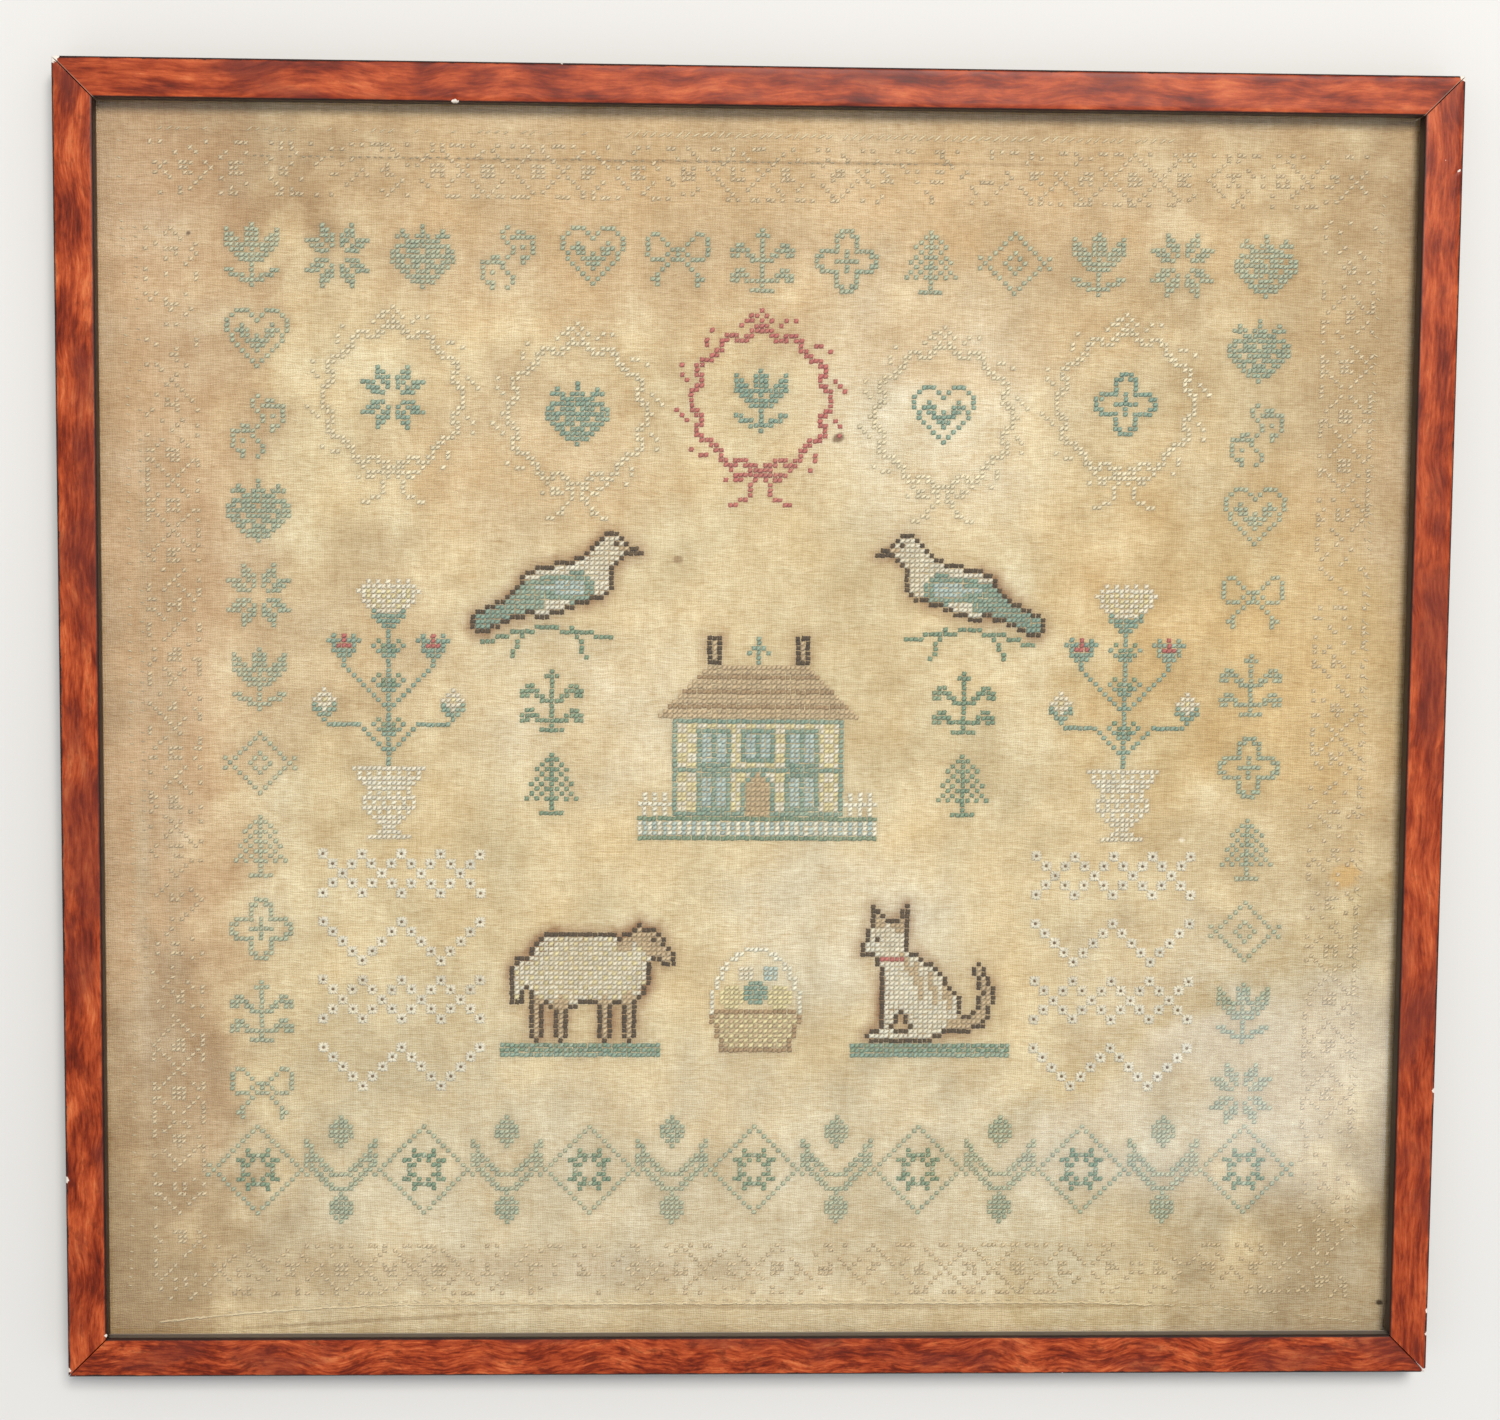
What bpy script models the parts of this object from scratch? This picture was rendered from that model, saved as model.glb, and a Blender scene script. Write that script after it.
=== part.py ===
# Framed cross stitch sampler, lying on its back: a hemmed linen cloth under glass in a
# slim mitred frame, closed behind by a thin board. Metres, +Z out of the picture's face,
# +Y to the picture's top, origin below the middle of the frame on the surface it lies on.

from math import cos, exp, pi, radians, sin

import bmesh
import bpy

# Outside of the frame, and the section of its moulding
FRAME_WIDTH = 0.420
FRAME_HEIGHT = 0.398
FRAME_DEPTH = 0.016
RAIL_FACE = 0.012
LIP_REACH = 0.005
LIP_DEPTH = 0.0052
OUTER_ARRIS = 0.0010
SIGHT_ARRIS = 0.0005
ARRIS_STEPS = 4

# Between any two neighbours, also across a mitre
GAP = 0.0003

# What lies in the rebate, from the lip backwards
GLASS_THICKNESS = 0.002
CLOTH_ROOM = 0.0022
BOARD_THICKNESS = 0.004
EDGE_ROUNDING = 0.0002

# The cloth, single in the field and doubled where its edge is turned in and sewn down
CLOTH_THICKNESS = 0.0012
HEM_THICKNESS = 0.0017
HEM_SLOPE = 0.0012
LEFT_HEM = 0.0125
RIGHT_HEM = 0.0155
BOTTOM_HEM = 0.0128
TOP_HEM = 0.0120
BOTTOM_HEM_SAG = 0.0080
SIDE_HEM_SAG = 0.0030
COLUMNS = 38
ROWS = 36

# Shallow puckers of the cloth. Each is a soft ridge: its middle, the way it runs
# (degrees from +X), its half length, its half width and its height, lengths in millimetres
PUCKERS = [
    # x, y, turn, half_length, half_width, height
    (-150, 128, 8, 70, 16, 0.30),
    (20, 150, -3, 110, 14, 0.25),
    (150, 118, 78, 60, 15, 0.32),
    (-172, 10, 86, 90, 15, 0.34),
    (-95, -60, 35, 55, 18, 0.22),
    (-30, 35, 12, 75, 20, 0.20),
    (70, -35, -28, 65, 18, 0.24),
    (165, -55, 82, 85, 15, 0.30),
    (140, -150, -32, 45, 13, 0.42),
    (-40, -158, 4, 95, 14, 0.36),
    (-155, -150, 40, 40, 14, 0.28),
    (60, 88, 20, 60, 18, 0.20),
]

# Levels, from the surface that the frame lies on
LIP_UNDERSIDE = FRAME_DEPTH - LIP_DEPTH
GLASS_BOTTOM = LIP_UNDERSIDE - GAP - GLASS_THICKNESS
CLOTH_BOTTOM = GLASS_BOTTOM - GAP - CLOTH_ROOM
BOARD_BOTTOM = CLOTH_BOTTOM - GAP - BOARD_THICKNESS

# Width and height of what fits the rebate
REBATE_INSET = RAIL_FACE - LIP_REACH + GAP
FITTED_WIDTH = FRAME_WIDTH - 2 * REBATE_INSET
FITTED_HEIGHT = FRAME_HEIGHT - 2 * REBATE_INSET

# Rails: name, its length outside, the distance of its outer side from the middle, its turn
RAILS = [
    # name, length, distance, turn
    ("frame_bottom", FRAME_WIDTH, FRAME_HEIGHT / 2, 0),
    ("frame_right", FRAME_HEIGHT, FRAME_WIDTH / 2, 90),
    ("frame_top", FRAME_WIDTH, FRAME_HEIGHT / 2, 180),
    ("frame_left", FRAME_HEIGHT, FRAME_WIDTH / 2, 270),
]

# Finishes: colour, roughness, metallic value and how much light goes through
FINISHES = {
    "painted_wood": ((0.36, 0.085, 0.040), 0.38, 0.0, 0.0),
    "glass": ((0.92, 0.95, 0.93), 0.04, 0.0, 1.0),
    "linen": ((0.60, 0.45, 0.26), 0.92, 0.0, 0.0),
    "bare_wood": ((0.42, 0.28, 0.16), 0.80, 0.0, 0.0),
}


def clear_scene():
    for old in list(bpy.data.objects):
        bpy.data.objects.remove(old, do_unlink=True)


def new_material(name):
    colour, roughness, metallic, clearness = FINISHES[name]
    material = bpy.data.materials.new(name)
    material.use_nodes = True
    shader = material.node_tree.nodes["Principled BSDF"]
    shader.inputs["Base Color"].default_value = (*colour, 1.0)
    shader.inputs["Roughness"].default_value = roughness
    shader.inputs["Metallic"].default_value = metallic
    shader.inputs["Transmission Weight"].default_value = clearness
    return material


def new_object(name, shape, material, collection):
    """Turns a bmesh into a named object of the model."""
    bmesh.ops.recalc_face_normals(shape, faces=shape.faces[:])
    mesh = bpy.data.meshes.new(name)
    shape.to_mesh(mesh)
    shape.free()
    mesh.materials.append(material)
    made = bpy.data.objects.new(name, mesh)
    collection.objects.link(made)
    return made


def arc(centre_across, centre_up, radius, start, stop):
    """Points of a rounded arris, with its angles in degrees."""
    points = []
    for step in range(ARRIS_STEPS + 1):
        angle = radians(start + (stop - start) * step / ARRIS_STEPS)
        points.append((centre_across + radius * cos(angle), centre_up + radius * sin(angle)))
    return points


def moulding_outline():
    """Section of the moulding: across from its outer side, and up from its back."""
    side_wall = RAIL_FACE - LIP_REACH
    outer = arc(OUTER_ARRIS, FRAME_DEPTH - OUTER_ARRIS, OUTER_ARRIS, 180, 90)
    sight = arc(RAIL_FACE - SIGHT_ARRIS, FRAME_DEPTH - SIGHT_ARRIS, SIGHT_ARRIS, 90, 0)
    rebate = [(RAIL_FACE, LIP_UNDERSIDE), (side_wall, LIP_UNDERSIDE), (side_wall, 0.0)]
    return [(0.0, 0.0)] + outer + sight + rebate


def build_rail(name, length, distance, turn, material, collection):
    """One length of moulding along X, mitred at both ends, then turned into its place."""
    shape = bmesh.new()
    section = [shape.verts.new((0.0, across, up)) for across, up in moulding_outline()]
    face = shape.faces.new(section)
    swept = bmesh.ops.extrude_face_region(shape, geom=[face], use_keep_orig=True)
    far_end = {item for item in swept["geom"] if isinstance(item, bmesh.types.BMVert)}
    for vert in shape.verts:
        mitred = length / 2 - vert.co.y - GAP / 2 * 2 ** 0.5
        vert.co.x = mitred if vert in far_end else -mitred
        vert.co.y -= distance
    rail = new_object(name, shape, material, collection)
    rail.rotation_euler.z = turn * pi / 180
    return rail


def build_panel(name, thickness, bottom, material, collection):
    """A flat pane or board that fits the rebate, with its edges just eased."""
    shape = bmesh.new()
    bmesh.ops.create_cube(shape, size=1.0)
    bmesh.ops.scale(shape, vec=(FITTED_WIDTH, FITTED_HEIGHT, thickness), verts=shape.verts)
    panel = new_object(name, shape, material, collection)
    panel.location.z = bottom + thickness / 2
    eased = panel.modifiers.new("eased edges", "BEVEL")
    eased.width = EDGE_ROUNDING
    eased.segments = 1
    return panel


def pucker_height(x, y):
    """How far the cloth stands off the board: the sum of its soft ridges."""
    height = 0.0
    for middle_x, middle_y, turn, half_length, half_width, ridge in PUCKERS:
        east = x * 1000 - middle_x
        north = y * 1000 - middle_y
        along = east * cos(radians(turn)) + north * sin(radians(turn))
        across = north * cos(radians(turn)) - east * sin(radians(turn))
        height += ridge * exp(-(along / half_length) ** 2 - (across / half_width) ** 2)
    return height / 1000


def hem_sag(place):
    """1 where a hem lies at the corners, 0 along its middle; place runs from -1 to 1."""
    return max(0.0, (abs(place) - 0.45) / 0.55) ** 2


def spread(low, high, low_hem, high_hem, count):
    """Lines of the cloth's grid: edge, hem seam and its foot, then even steps between."""
    first = low + low_hem + HEM_SLOPE
    last = high - high_hem - HEM_SLOPE
    inner = [first + (last - first) * step / count for step in range(count + 1)]
    return [low, low + low_hem] + inner + [high - high_hem, high]


def build_cloth(material, collection):
    """The hemmed cloth as one sheet, thicker in its hem, lying over the board in puckers."""
    half_width, half_height = FITTED_WIDTH / 2, FITTED_HEIGHT / 2
    shape = bmesh.new()
    across_count, up_count = COLUMNS + 4, ROWS + 4
    bmesh.ops.create_grid(shape, x_segments=across_count, y_segments=up_count, size=1.0)
    doubled = shape.verts.layers.deform.verify()
    for vert in shape.verts:
        column = round((vert.co.x + 1) / 2 * across_count)
        row = round((vert.co.y + 1) / 2 * up_count)
        side_place = vert.co.y
        end_place = vert.co.x
        side_sag = SIDE_HEM_SAG * hem_sag(side_place)
        left_hem = LEFT_HEM - side_sag
        right_hem = RIGHT_HEM - side_sag
        bottom_hem = BOTTOM_HEM - BOTTOM_HEM_SAG * hem_sag(end_place)
        x = spread(-half_width, half_width, left_hem, right_hem, COLUMNS)[column]
        y = spread(-half_height, half_height, bottom_hem, TOP_HEM, ROWS)[row]
        vert.co = (x, y, pucker_height(x, y))
        in_hem = column < 2 or column > across_count - 2 or row < 2 or row > up_count - 2
        vert[doubled][0] = 1.0 if in_hem else 0.0
    cloth = new_object("sampler_cloth", shape, material, collection)
    cloth.location.z = CLOTH_BOTTOM
    cloth.vertex_groups.new(name="doubled hem")
    sheet = cloth.modifiers.new("thickness of the cloth", "SOLIDIFY")
    sheet.thickness = HEM_THICKNESS
    sheet.offset = 1.0
    sheet.vertex_group = "doubled hem"
    sheet.thickness_vertex_group = CLOTH_THICKNESS / HEM_THICKNESS
    return cloth


def main():
    clear_scene()
    collection = bpy.data.collections.new("framed_cross_stitch_sampler")
    bpy.context.scene.collection.children.link(collection)
    materials = {name: new_material(name) for name in FINISHES}
    for name, length, distance, turn in RAILS:
        build_rail(name, length, distance, turn, materials["painted_wood"], collection)
    build_panel("glazing", GLASS_THICKNESS, GLASS_BOTTOM, materials["glass"], collection)
    build_cloth(materials["linen"], collection)
    build_panel("backing_board", BOARD_THICKNESS, BOARD_BOTTOM, materials["bare_wood"], collection)


main()
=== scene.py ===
# Looks of a framed cross stitch sampler: a worn linen cloth worked in cross stitch and
# eyelets, under glass in a slim painted frame. Metres, +Z out of the picture's face,
# +Y to the picture's top.
import math
import random

import bpy
import numpy as np
from mathutils import Matrix, Vector, kdtree, noise


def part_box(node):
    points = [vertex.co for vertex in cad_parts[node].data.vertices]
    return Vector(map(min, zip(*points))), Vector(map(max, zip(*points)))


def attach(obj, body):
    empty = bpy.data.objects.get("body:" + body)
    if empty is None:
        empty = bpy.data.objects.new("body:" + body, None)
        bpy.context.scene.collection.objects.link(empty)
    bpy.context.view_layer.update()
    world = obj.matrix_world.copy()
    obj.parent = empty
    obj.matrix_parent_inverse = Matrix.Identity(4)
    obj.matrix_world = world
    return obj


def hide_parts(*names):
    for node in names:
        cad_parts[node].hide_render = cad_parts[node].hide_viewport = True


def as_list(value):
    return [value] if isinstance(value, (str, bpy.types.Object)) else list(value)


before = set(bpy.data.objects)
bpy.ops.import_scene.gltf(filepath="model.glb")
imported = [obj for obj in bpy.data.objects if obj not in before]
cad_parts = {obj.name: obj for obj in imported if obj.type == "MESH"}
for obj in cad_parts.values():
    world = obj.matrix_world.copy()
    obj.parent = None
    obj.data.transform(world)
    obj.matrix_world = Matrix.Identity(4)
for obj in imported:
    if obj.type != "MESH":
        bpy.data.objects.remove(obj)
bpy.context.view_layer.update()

mm = 0.001
touching = 0.01 * mm    # nearer than this, two places are the same
diagonal = 2 ** 0.5     # of a mitre, for each unit across the rail
clothLow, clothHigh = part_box("sampler_cloth")
railLow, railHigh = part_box("frame_top")
print("frame loaded:", sorted(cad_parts))


# Camera: a little left of the middle and towards the top, tipped to the picture's foot
camera = {
    "place": (-0.03268, 0.07590, 0.82083),
    "looksAlong": (0.036882, -0.084913, -0.995706),
    "upwards": (-0.005717, 0.996349, -0.085180),
    "lens": 64.152,
    "sensor": 36.0,
}


def setCamera():
    bpy.ops.object.camera_add(location=camera["place"])
    eye = bpy.context.active_object
    eye.name = "camera"
    back = -Vector(camera["looksAlong"]).normalized()
    side = Vector(camera["upwards"]).cross(back).normalized()
    eye.rotation_euler = Matrix((side, back.cross(side), back)).transposed().to_euler()
    eye.data.lens = camera["lens"]
    eye.data.sensor_width = camera["sensor"]
    bpy.context.scene.camera = eye


setCamera()
print("camera set")


# Shader kit
def paint(red, green, blue):
    # A colour given 0 to 255 for each part, as the shaders want it
    parts = []
    for part in (red, green, blue):
        share = part / 255
        parts.append(share / 12.92 if share <= 0.04045 else ((share + 0.055) / 1.055) ** 2.4)
    return (*parts, 1.0)


class Wire:
    # One output of a node. Arithmetic on it adds Math nodes.
    def __init__(self, finish, socket):
        self.finish = finish
        self.socket = socket

    def reckon(self, operation, first, second=0.0):
        return self.finish.node("ShaderNodeMath", {"operation": operation}, {0: first, 1: second})

    def __add__(self, other):
        return self.reckon("ADD", self, other)

    def __radd__(self, other):
        return self.reckon("ADD", other, self)

    def __sub__(self, other):
        return self.reckon("SUBTRACT", self, other)

    def __rsub__(self, other):
        return self.reckon("SUBTRACT", other, self)

    def __mul__(self, other):
        return self.reckon("MULTIPLY", self, other)

    def __rmul__(self, other):
        return self.reckon("MULTIPLY", other, self)

    def __truediv__(self, other):
        return self.reckon("DIVIDE", self, other)

    def size(self):
        return self.reckon("ABSOLUTE", self)

    def sine(self):
        return self.reckon("SINE", self)

    def atLeast(self, other):
        return self.reckon("MAXIMUM", self, other)

    def between(self, low, high, full=1.0):
        # 0 at low, full at high, eased at both ends
        return self.finish.node("ShaderNodeMapRange", {"interpolation_type": "SMOOTHSTEP"}, {
            "Value": self, "From Min": low, "From Max": high, "To Max": full})


class Finish:
    # One material, with the nodes that its pattern needs
    def __init__(self, name):
        self.material = bpy.data.materials.new(name)
        self.material.use_nodes = True
        self.tree = self.material.node_tree
        self.tree.nodes.clear()

    def node(self, kind, settings=None, sockets=None, output=0):
        made = self.tree.nodes.new(kind)
        for key, value in (settings or {}).items():
            if key == "stops":
                ramp = made.color_ramp.elements
                while len(ramp) < len(value):
                    ramp.new(0.5)
                for stop, (place, colour) in zip(ramp, value):
                    stop.position = place
                    stop.color = colour
            else:
                setattr(made, key, value)
        for key, value in (sockets or {}).items():
            if isinstance(value, Wire):
                self.tree.links.new(value.socket, made.inputs[key])
            else:
                made.inputs[key].default_value = value
        return Wire(self, made.outputs[output])

    def place(self, spans=(1.0, 1.0, 1.0), shift=(0.0, 0.0, 0.0)):
        # Object coordinates with one unit for each span, spans in millimetres
        return self.node("ShaderNodeMapping", None, {
            "Vector": self.node("ShaderNodeTexCoord", output="Object"),
            "Scale": [1 / (mm * span) for span in spans], "Location": shift})

    def cloud(self, vector, detail, roughness=0.5):
        # Noise about 0.5, its largest waves one unit of the vector long
        return self.node("ShaderNodeTexNoise", None, {
            "Vector": vector, "Scale": 1.0, "Detail": detail, "Roughness": roughness})

    def parts(self, vector):
        made = self.node("ShaderNodeSeparateXYZ", None, {0: vector})
        return [Wire(self, output) for output in made.socket.node.outputs]

    def join(self, x, y, z=0.0):
        return self.node("ShaderNodeCombineXYZ", None, {0: x, 1: y, 2: z})

    def blend(self, first, second, share, way="MIX"):
        settings = {"data_type": "RGBA", "blend_type": way, "clamp_factor": True}
        return self.node("ShaderNodeMix", settings, {0: share, 6: first, 7: second}, 2)

    def shaded(self, colour, shade):
        # A colour made lighter or darker, alike in all its parts
        return self.blend(colour, self.join(shade, shade, shade), 1.0, "MULTIPLY")

    def stored(self, name):
        # A number that each point of the mesh carries
        return self.node("ShaderNodeAttribute", {"attribute_name": name}, output="Fac")

    def relief(self, height, depth, strength):
        return self.node("ShaderNodeBump", None, {
            "Height": height, "Distance": depth, "Strength": strength})

    def surface(self, sockets):
        return self.finish(self.node("ShaderNodeBsdfPrincipled", None, sockets))

    def finish(self, shader):
        end = self.tree.nodes.new("ShaderNodeOutputMaterial")
        self.tree.links.new(shader.socket, end.inputs["Surface"])
        return self.material


def deselect():
    if bpy.context.object and bpy.context.object.mode != "OBJECT":
        bpy.ops.object.mode_set(mode="OBJECT")
    bpy.ops.object.select_all(action="DESELECT")


def pick(piece):
    # Leaves one piece selected and active
    deselect()
    bpy.context.view_layer.objects.active = piece
    piece.select_set(True)


def settle():
    # Takes the active piece's place, turn and scale into its mesh
    bpy.ops.object.transform_apply(location=True, rotation=True, scale=True)


def modify(piece, kind, **settings):
    change = piece.modifiers.new(kind.lower(), kind)
    for key, value in settings.items():
        setattr(change, key, value)
    bpy.ops.object.modifier_apply(modifier=change.name)


def pickEdges(piece, test):
    # Goes into edit mode with only those edges selected whose middle and run pass the test
    bpy.ops.object.mode_set(mode="OBJECT")
    mesh = piece.data
    for item in list(mesh.vertices) + list(mesh.edges) + list(mesh.polygons):
        item.select = False
    for edge in mesh.edges:
        start = mesh.vertices[edge.vertices[0]].co
        end = mesh.vertices[edge.vertices[1]].co
        edge.select = test((start + end) / 2, end - start)
    bpy.ops.object.mode_set(mode="EDIT")


def pointsOf(piece):
    points = np.zeros(len(piece.data.vertices) * 3)
    piece.data.vertices.foreach_get("co", points)
    return points.reshape(-1, 3)


def dress(piece, name, material):
    piece.name = name
    piece.data.name = name
    piece.data.materials.clear()
    piece.data.materials.append(material)
    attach(piece, "root")
    return piece


# The chart: every cross of the embroidery, counted from the middle of the cloth. All places
# and sizes in its functions are whole stitches.
chartLook = {
    "seed": 41,
    "columns": 131,          # stitches from the middle to either side of what shows
    "rows": 124,
    "field": (92, -76, 84),  # half width, foot and top of what the teal ring goes round
    "pitch": 1.5 * mm,
}

# Small motifs, charted one by one. Each row is the left half with the middle stitch last.
halfCharts = {
    "tulip": [
        "......#",
        ".#...##",
        ".##..##",
        ".###.##",
        ".######",
        "..###.#",
        "...####",
        "....###",
        "......#",
        ".##...#",
        "..###.#",
        "....###",
        "......#",
    ],
    "heart": [
        "..###..",
        ".#...#.",
        "#.....#",
        "#..#...",
        "#.###..",
        ".#.##.#",
        ".#..###",
        "..#..##",
        "...#..#",
        "....#..",
        ".....#.",
        "......#",
    ],
    "berry": [
        "......#",
        "..#...#",
        ".###.##",
        "...####",
        ".######",
        "##.###.",
        "#######",
        "###.###",
        ".#####.",
        "..##.##",
        "...####",
        "....###",
        "......#",
    ],
    "fir": [
        "......#",
        ".....##",
        "....#.#",
        "...#.##",
        "....#.#",
        "...#.##",
        "..#.#.#",
        "...#.##",
        "..#.#.#",
        ".#.#.##",
        "......#",
        "......#",
        "....###",
    ],
    "leafSprig": [
        "......#",
        ".....##",
        "......#",
        ".##...#",
        "####..#",
        "##.##.#",
        "....###",
        "......#",
        ".##...#",
        "####..#",
        "##.####",
        "......#",
        "....###",
    ],
    "bow": [
        ".##....",
        "#..#...",
        "#...#..",
        "#....##",
        "#...#.#",
        ".###.##",
        "....#..",
        "...#...",
        "..#....",
        ".##....",
        "..#....",
    ],
    "carnation": [
        "..c.c.c",
        ".cccccc",
        "ccycycy",
        ".cyccyc",
        ".ccyccy",
        "..ccycc",
        "...tccc",
        "...tttt",
        "....ttt",
        ".....tt",
        "......t",
    ],
    "bud": [
        "...c",
        "..cc",
        ".ccy",
        ".tcc",
        ".ttc",
        "..tt",
        "...t",
    ],
    "pinkBud": [
        "..t.r",
        ".tttr",
        "..trr",
        "..ttt",
        "...tt",
        "....t",
    ],
    "urn": [
        ".cccccccc",
        "..w.w.w.w",
        "..ccccccc",
        "...cwcwcw",
        "....ccccc",
        "....w.w.w",
        "...cccccc",
        "...w.w.w.",
        "...cccccc",
        "....w.w.w",
        ".....cccc",
        "......ccc",
        ".......cc",
        "......ccc",
        "....ccccc",
    ],
}

chart = {}      # (column, row) from the cloth's middle: the letter of its thread
eyelets = []    # middles of the eyelet stitches, in the same counts


def stitch(column, row, thread):
    if abs(column) <= chartLook["columns"] and abs(row) <= chartLook["rows"]:
        chart[(column, row)] = thread


def block(left, bottom, right, top, thread):
    for column in range(left, right + 1):
        for row in range(bottom, top + 1):
            stitch(column, row, thread)


def outline(left, bottom, right, top, thread):
    for column in range(left, right + 1):
        stitch(column, bottom, thread)
        stitch(column, top, thread)
    for row in range(bottom, top + 1):
        stitch(left, row, thread)
        stitch(right, row, thread)


# Works a half chart, mirrored about its last stitch, with its middle at a place
def stamp(name, column, row, thread=None, turn=0):
    rows = halfCharts[name]
    half = len(rows[0]) - 1
    middle = len(rows) // 2
    for down, line in enumerate(rows):
        for across in range(-half, half + 1):
            letter = line[half - abs(across)]
            if letter != ".":
                east, north = across, middle - down
                for _ in range(turn):
                    east, north = -north, east
                stitch(column + east, row + north, thread or letter)


# Joins points with single stitches, as in a stem
def run(points, thread):
    for (startX, startY), (endX, endY) in zip(points, points[1:]):
        steps = max(abs(endX - startX), abs(endY - startY), 1)
        for step in range(steps + 1):
            share = step / steps
            stitch(round(startX + (endX - startX) * share),
                   round(startY + (endY - startY) * share), thread)


# Eight petals round an open cross
def star(column, row, thread, size=3):
    for east in range(-2 * size, 2 * size + 1):
        for north in range(-2 * size, 2 * size + 1):
            low, high = sorted((abs(east), abs(north)))
            if 1 <= low <= size and 1 <= high - low <= size:
                stitch(column + east, row + north, thread)


def lozenge(column, row, thread, size=6):
    for east in range(-size, size + 1):
        for north in range(-size, size + 1):
            if abs(east) + abs(north) in (size, size // 3):
                stitch(column + east, row + north, thread)
    for side in (-1, 1):
        stitch(column + side * (size + 1), row + 1, thread)
        stitch(column + side * (size + 1), row - 1, thread)


# One line of stitches round a lobed outline
def ring(column, row, thread, radius, swing, lobes):
    for step in range(400):
        turn = 2 * math.pi * step / 400
        reach = radius + swing * math.cos(lobes * turn)
        stitch(round(column + reach * math.sin(turn)),
               round(row + reach * math.cos(turn)), thread)


def quatrefoil(column, row, thread):
    ring(column, row, thread, 4.9, 1.5, 4)
    for reach in range(3):
        for east, north in ((reach, 0), (-reach, 0), (0, reach), (0, -reach)):
            stitch(column + east, row + north, thread)


# A stem with curls that leave it by turns
def scroll(column, row, thread):
    for up in range(-6, 7):
        stitch(column + round(1.2 * math.sin(up * 1.05)), row + up, thread)
    for side, rise in ((1, 2), (-1, -3)):
        for step in range(40):
            turn = math.pi * (1.25 * step / 39 - 0.5)
            stitch(round(column + side * (2.6 + 2.4 * math.cos(turn))),
                   round(row + rise + 2.6 * math.sin(turn)), thread)
        stitch(column + side * 3, row + rise, thread)


# A scalloped wreath with leaves, tied with a ribbon at its foot, round an ornament
def garland(column, row, thread, inside):
    radius, lobes = 13.6, 12
    ring(column, row, thread, radius, 0.9, lobes)
    for lobe in range(lobes):
        turn = 2 * math.pi * (lobe + 0.5) / lobes
        for reach, lean in ((radius + 1.6, 0.0), (radius + 2.8, 0.06), (radius + 3.6, 0.16)):
            stitch(round(column + reach * math.sin(turn + lean)),
                   round(row + reach * math.cos(turn + lean)), thread)
    foot = row - round(radius)
    for side in (-1, 1):
        run([(column, foot), (column + side * 4, foot + 2), (column + side * 6, foot),
             (column + side * 4, foot - 2), (column, foot)], thread)
        run([(column, foot), (column + side * 3, foot - 6), (column + side * 6, foot - 7)], thread)
    top = row + round(radius)
    for east, north in ((0, 0), (-1, 1), (1, 1), (0, 2), (-2, 2), (2, 2), (0, 4), (-1, 3), (1, 3)):
        stitch(column + east, top + north, thread)
    ornament(inside, column, row)


# A beast or a bird of rounded limbs, outlined all round with single stitches. Each limb
# runs between two points, with a radius at each end and its thread.
def figure(column, row, limbs, edge, side=1, fleece=None):
    filled = {}
    for fromX, fromY, toX, toY, fromR, toR, thread in limbs:
        reach = math.ceil(max(fromR, toR)) + 1
        spanX, spanY = toX - fromX, toY - fromY
        length = spanX ** 2 + spanY ** 2 or 1.0
        for x in range(min(fromX, toX) - reach, max(fromX, toX) + reach + 1):
            for y in range(min(fromY, toY) - reach, max(fromY, toY) + reach + 1):
                share = min(1.0, max(0.0, ((x - fromX) * spanX + (y - fromY) * spanY) / length))
                away = math.hypot(x - fromX - share * spanX, y - fromY - share * spanY)
                if away <= fromR + (toR - fromR) * share:
                    filled[(x, y)] = thread
    for (x, y), thread in filled.items():
        inner = all((x + e, y + n) in filled for e, n in ((1, 0), (-1, 0), (0, 1), (0, -1)))
        if inner and thread == "c" and fleece and (x * 2 + y) % 5 == 0:
            thread = fleece
        stitch(column + side * x, row + y, thread if inner or thread in "bo" else edge)


birdParts = [
    # from x, from y, to x, to y, radius at the start, radius at the end, thread
    (-5, 0, 5, 3, 5.2, 4.6, "c"),
    (5, 5, 9, 9, 3.4, 3.0, "c"),
    (9, 9, 9, 9, 3.3, 3.3, "c"),
    (12, 9, 15, 8, 1.1, 0.5, "n"),
    (-7, -1, -17, -6, 2.9, 2.4, "t"),
    (-7, 1, 2, 1, 1.8, 3.2, "t"),
    (-6, 1, 2, 1, 0.4, 1.6, "p"),
    (10, 10, 10, 10, 0.5, 0.5, "b"),
]
lambParts = [
    (-8, 2, 5, 2, 7.2, 6.6, "c"),
    (-8, 5, 4, 5, 5.4, 5.0, "c"),
    (6, 5, 10, 8, 4.6, 3.8, "c"),
    (11, 9, 15, 5, 2.7, 1.7, "n"),
    (9, 11, 6, 8, 1.2, 1.5, "n"),
    (-12, -4, -12, -11, 1.4, 1.1, "n"),
    (-7, -4, -7, -11, 1.4, 1.1, "n"),
    (2, -4, 2, -11, 1.4, 1.1, "n"),
    (7, -3, 7, -11, 1.4, 1.1, "n"),
    (-15, 4, -16, -3, 1.9, 1.6, "c"),
    (12, 9, 12, 9, 0.5, 0.5, "b"),
]
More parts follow.
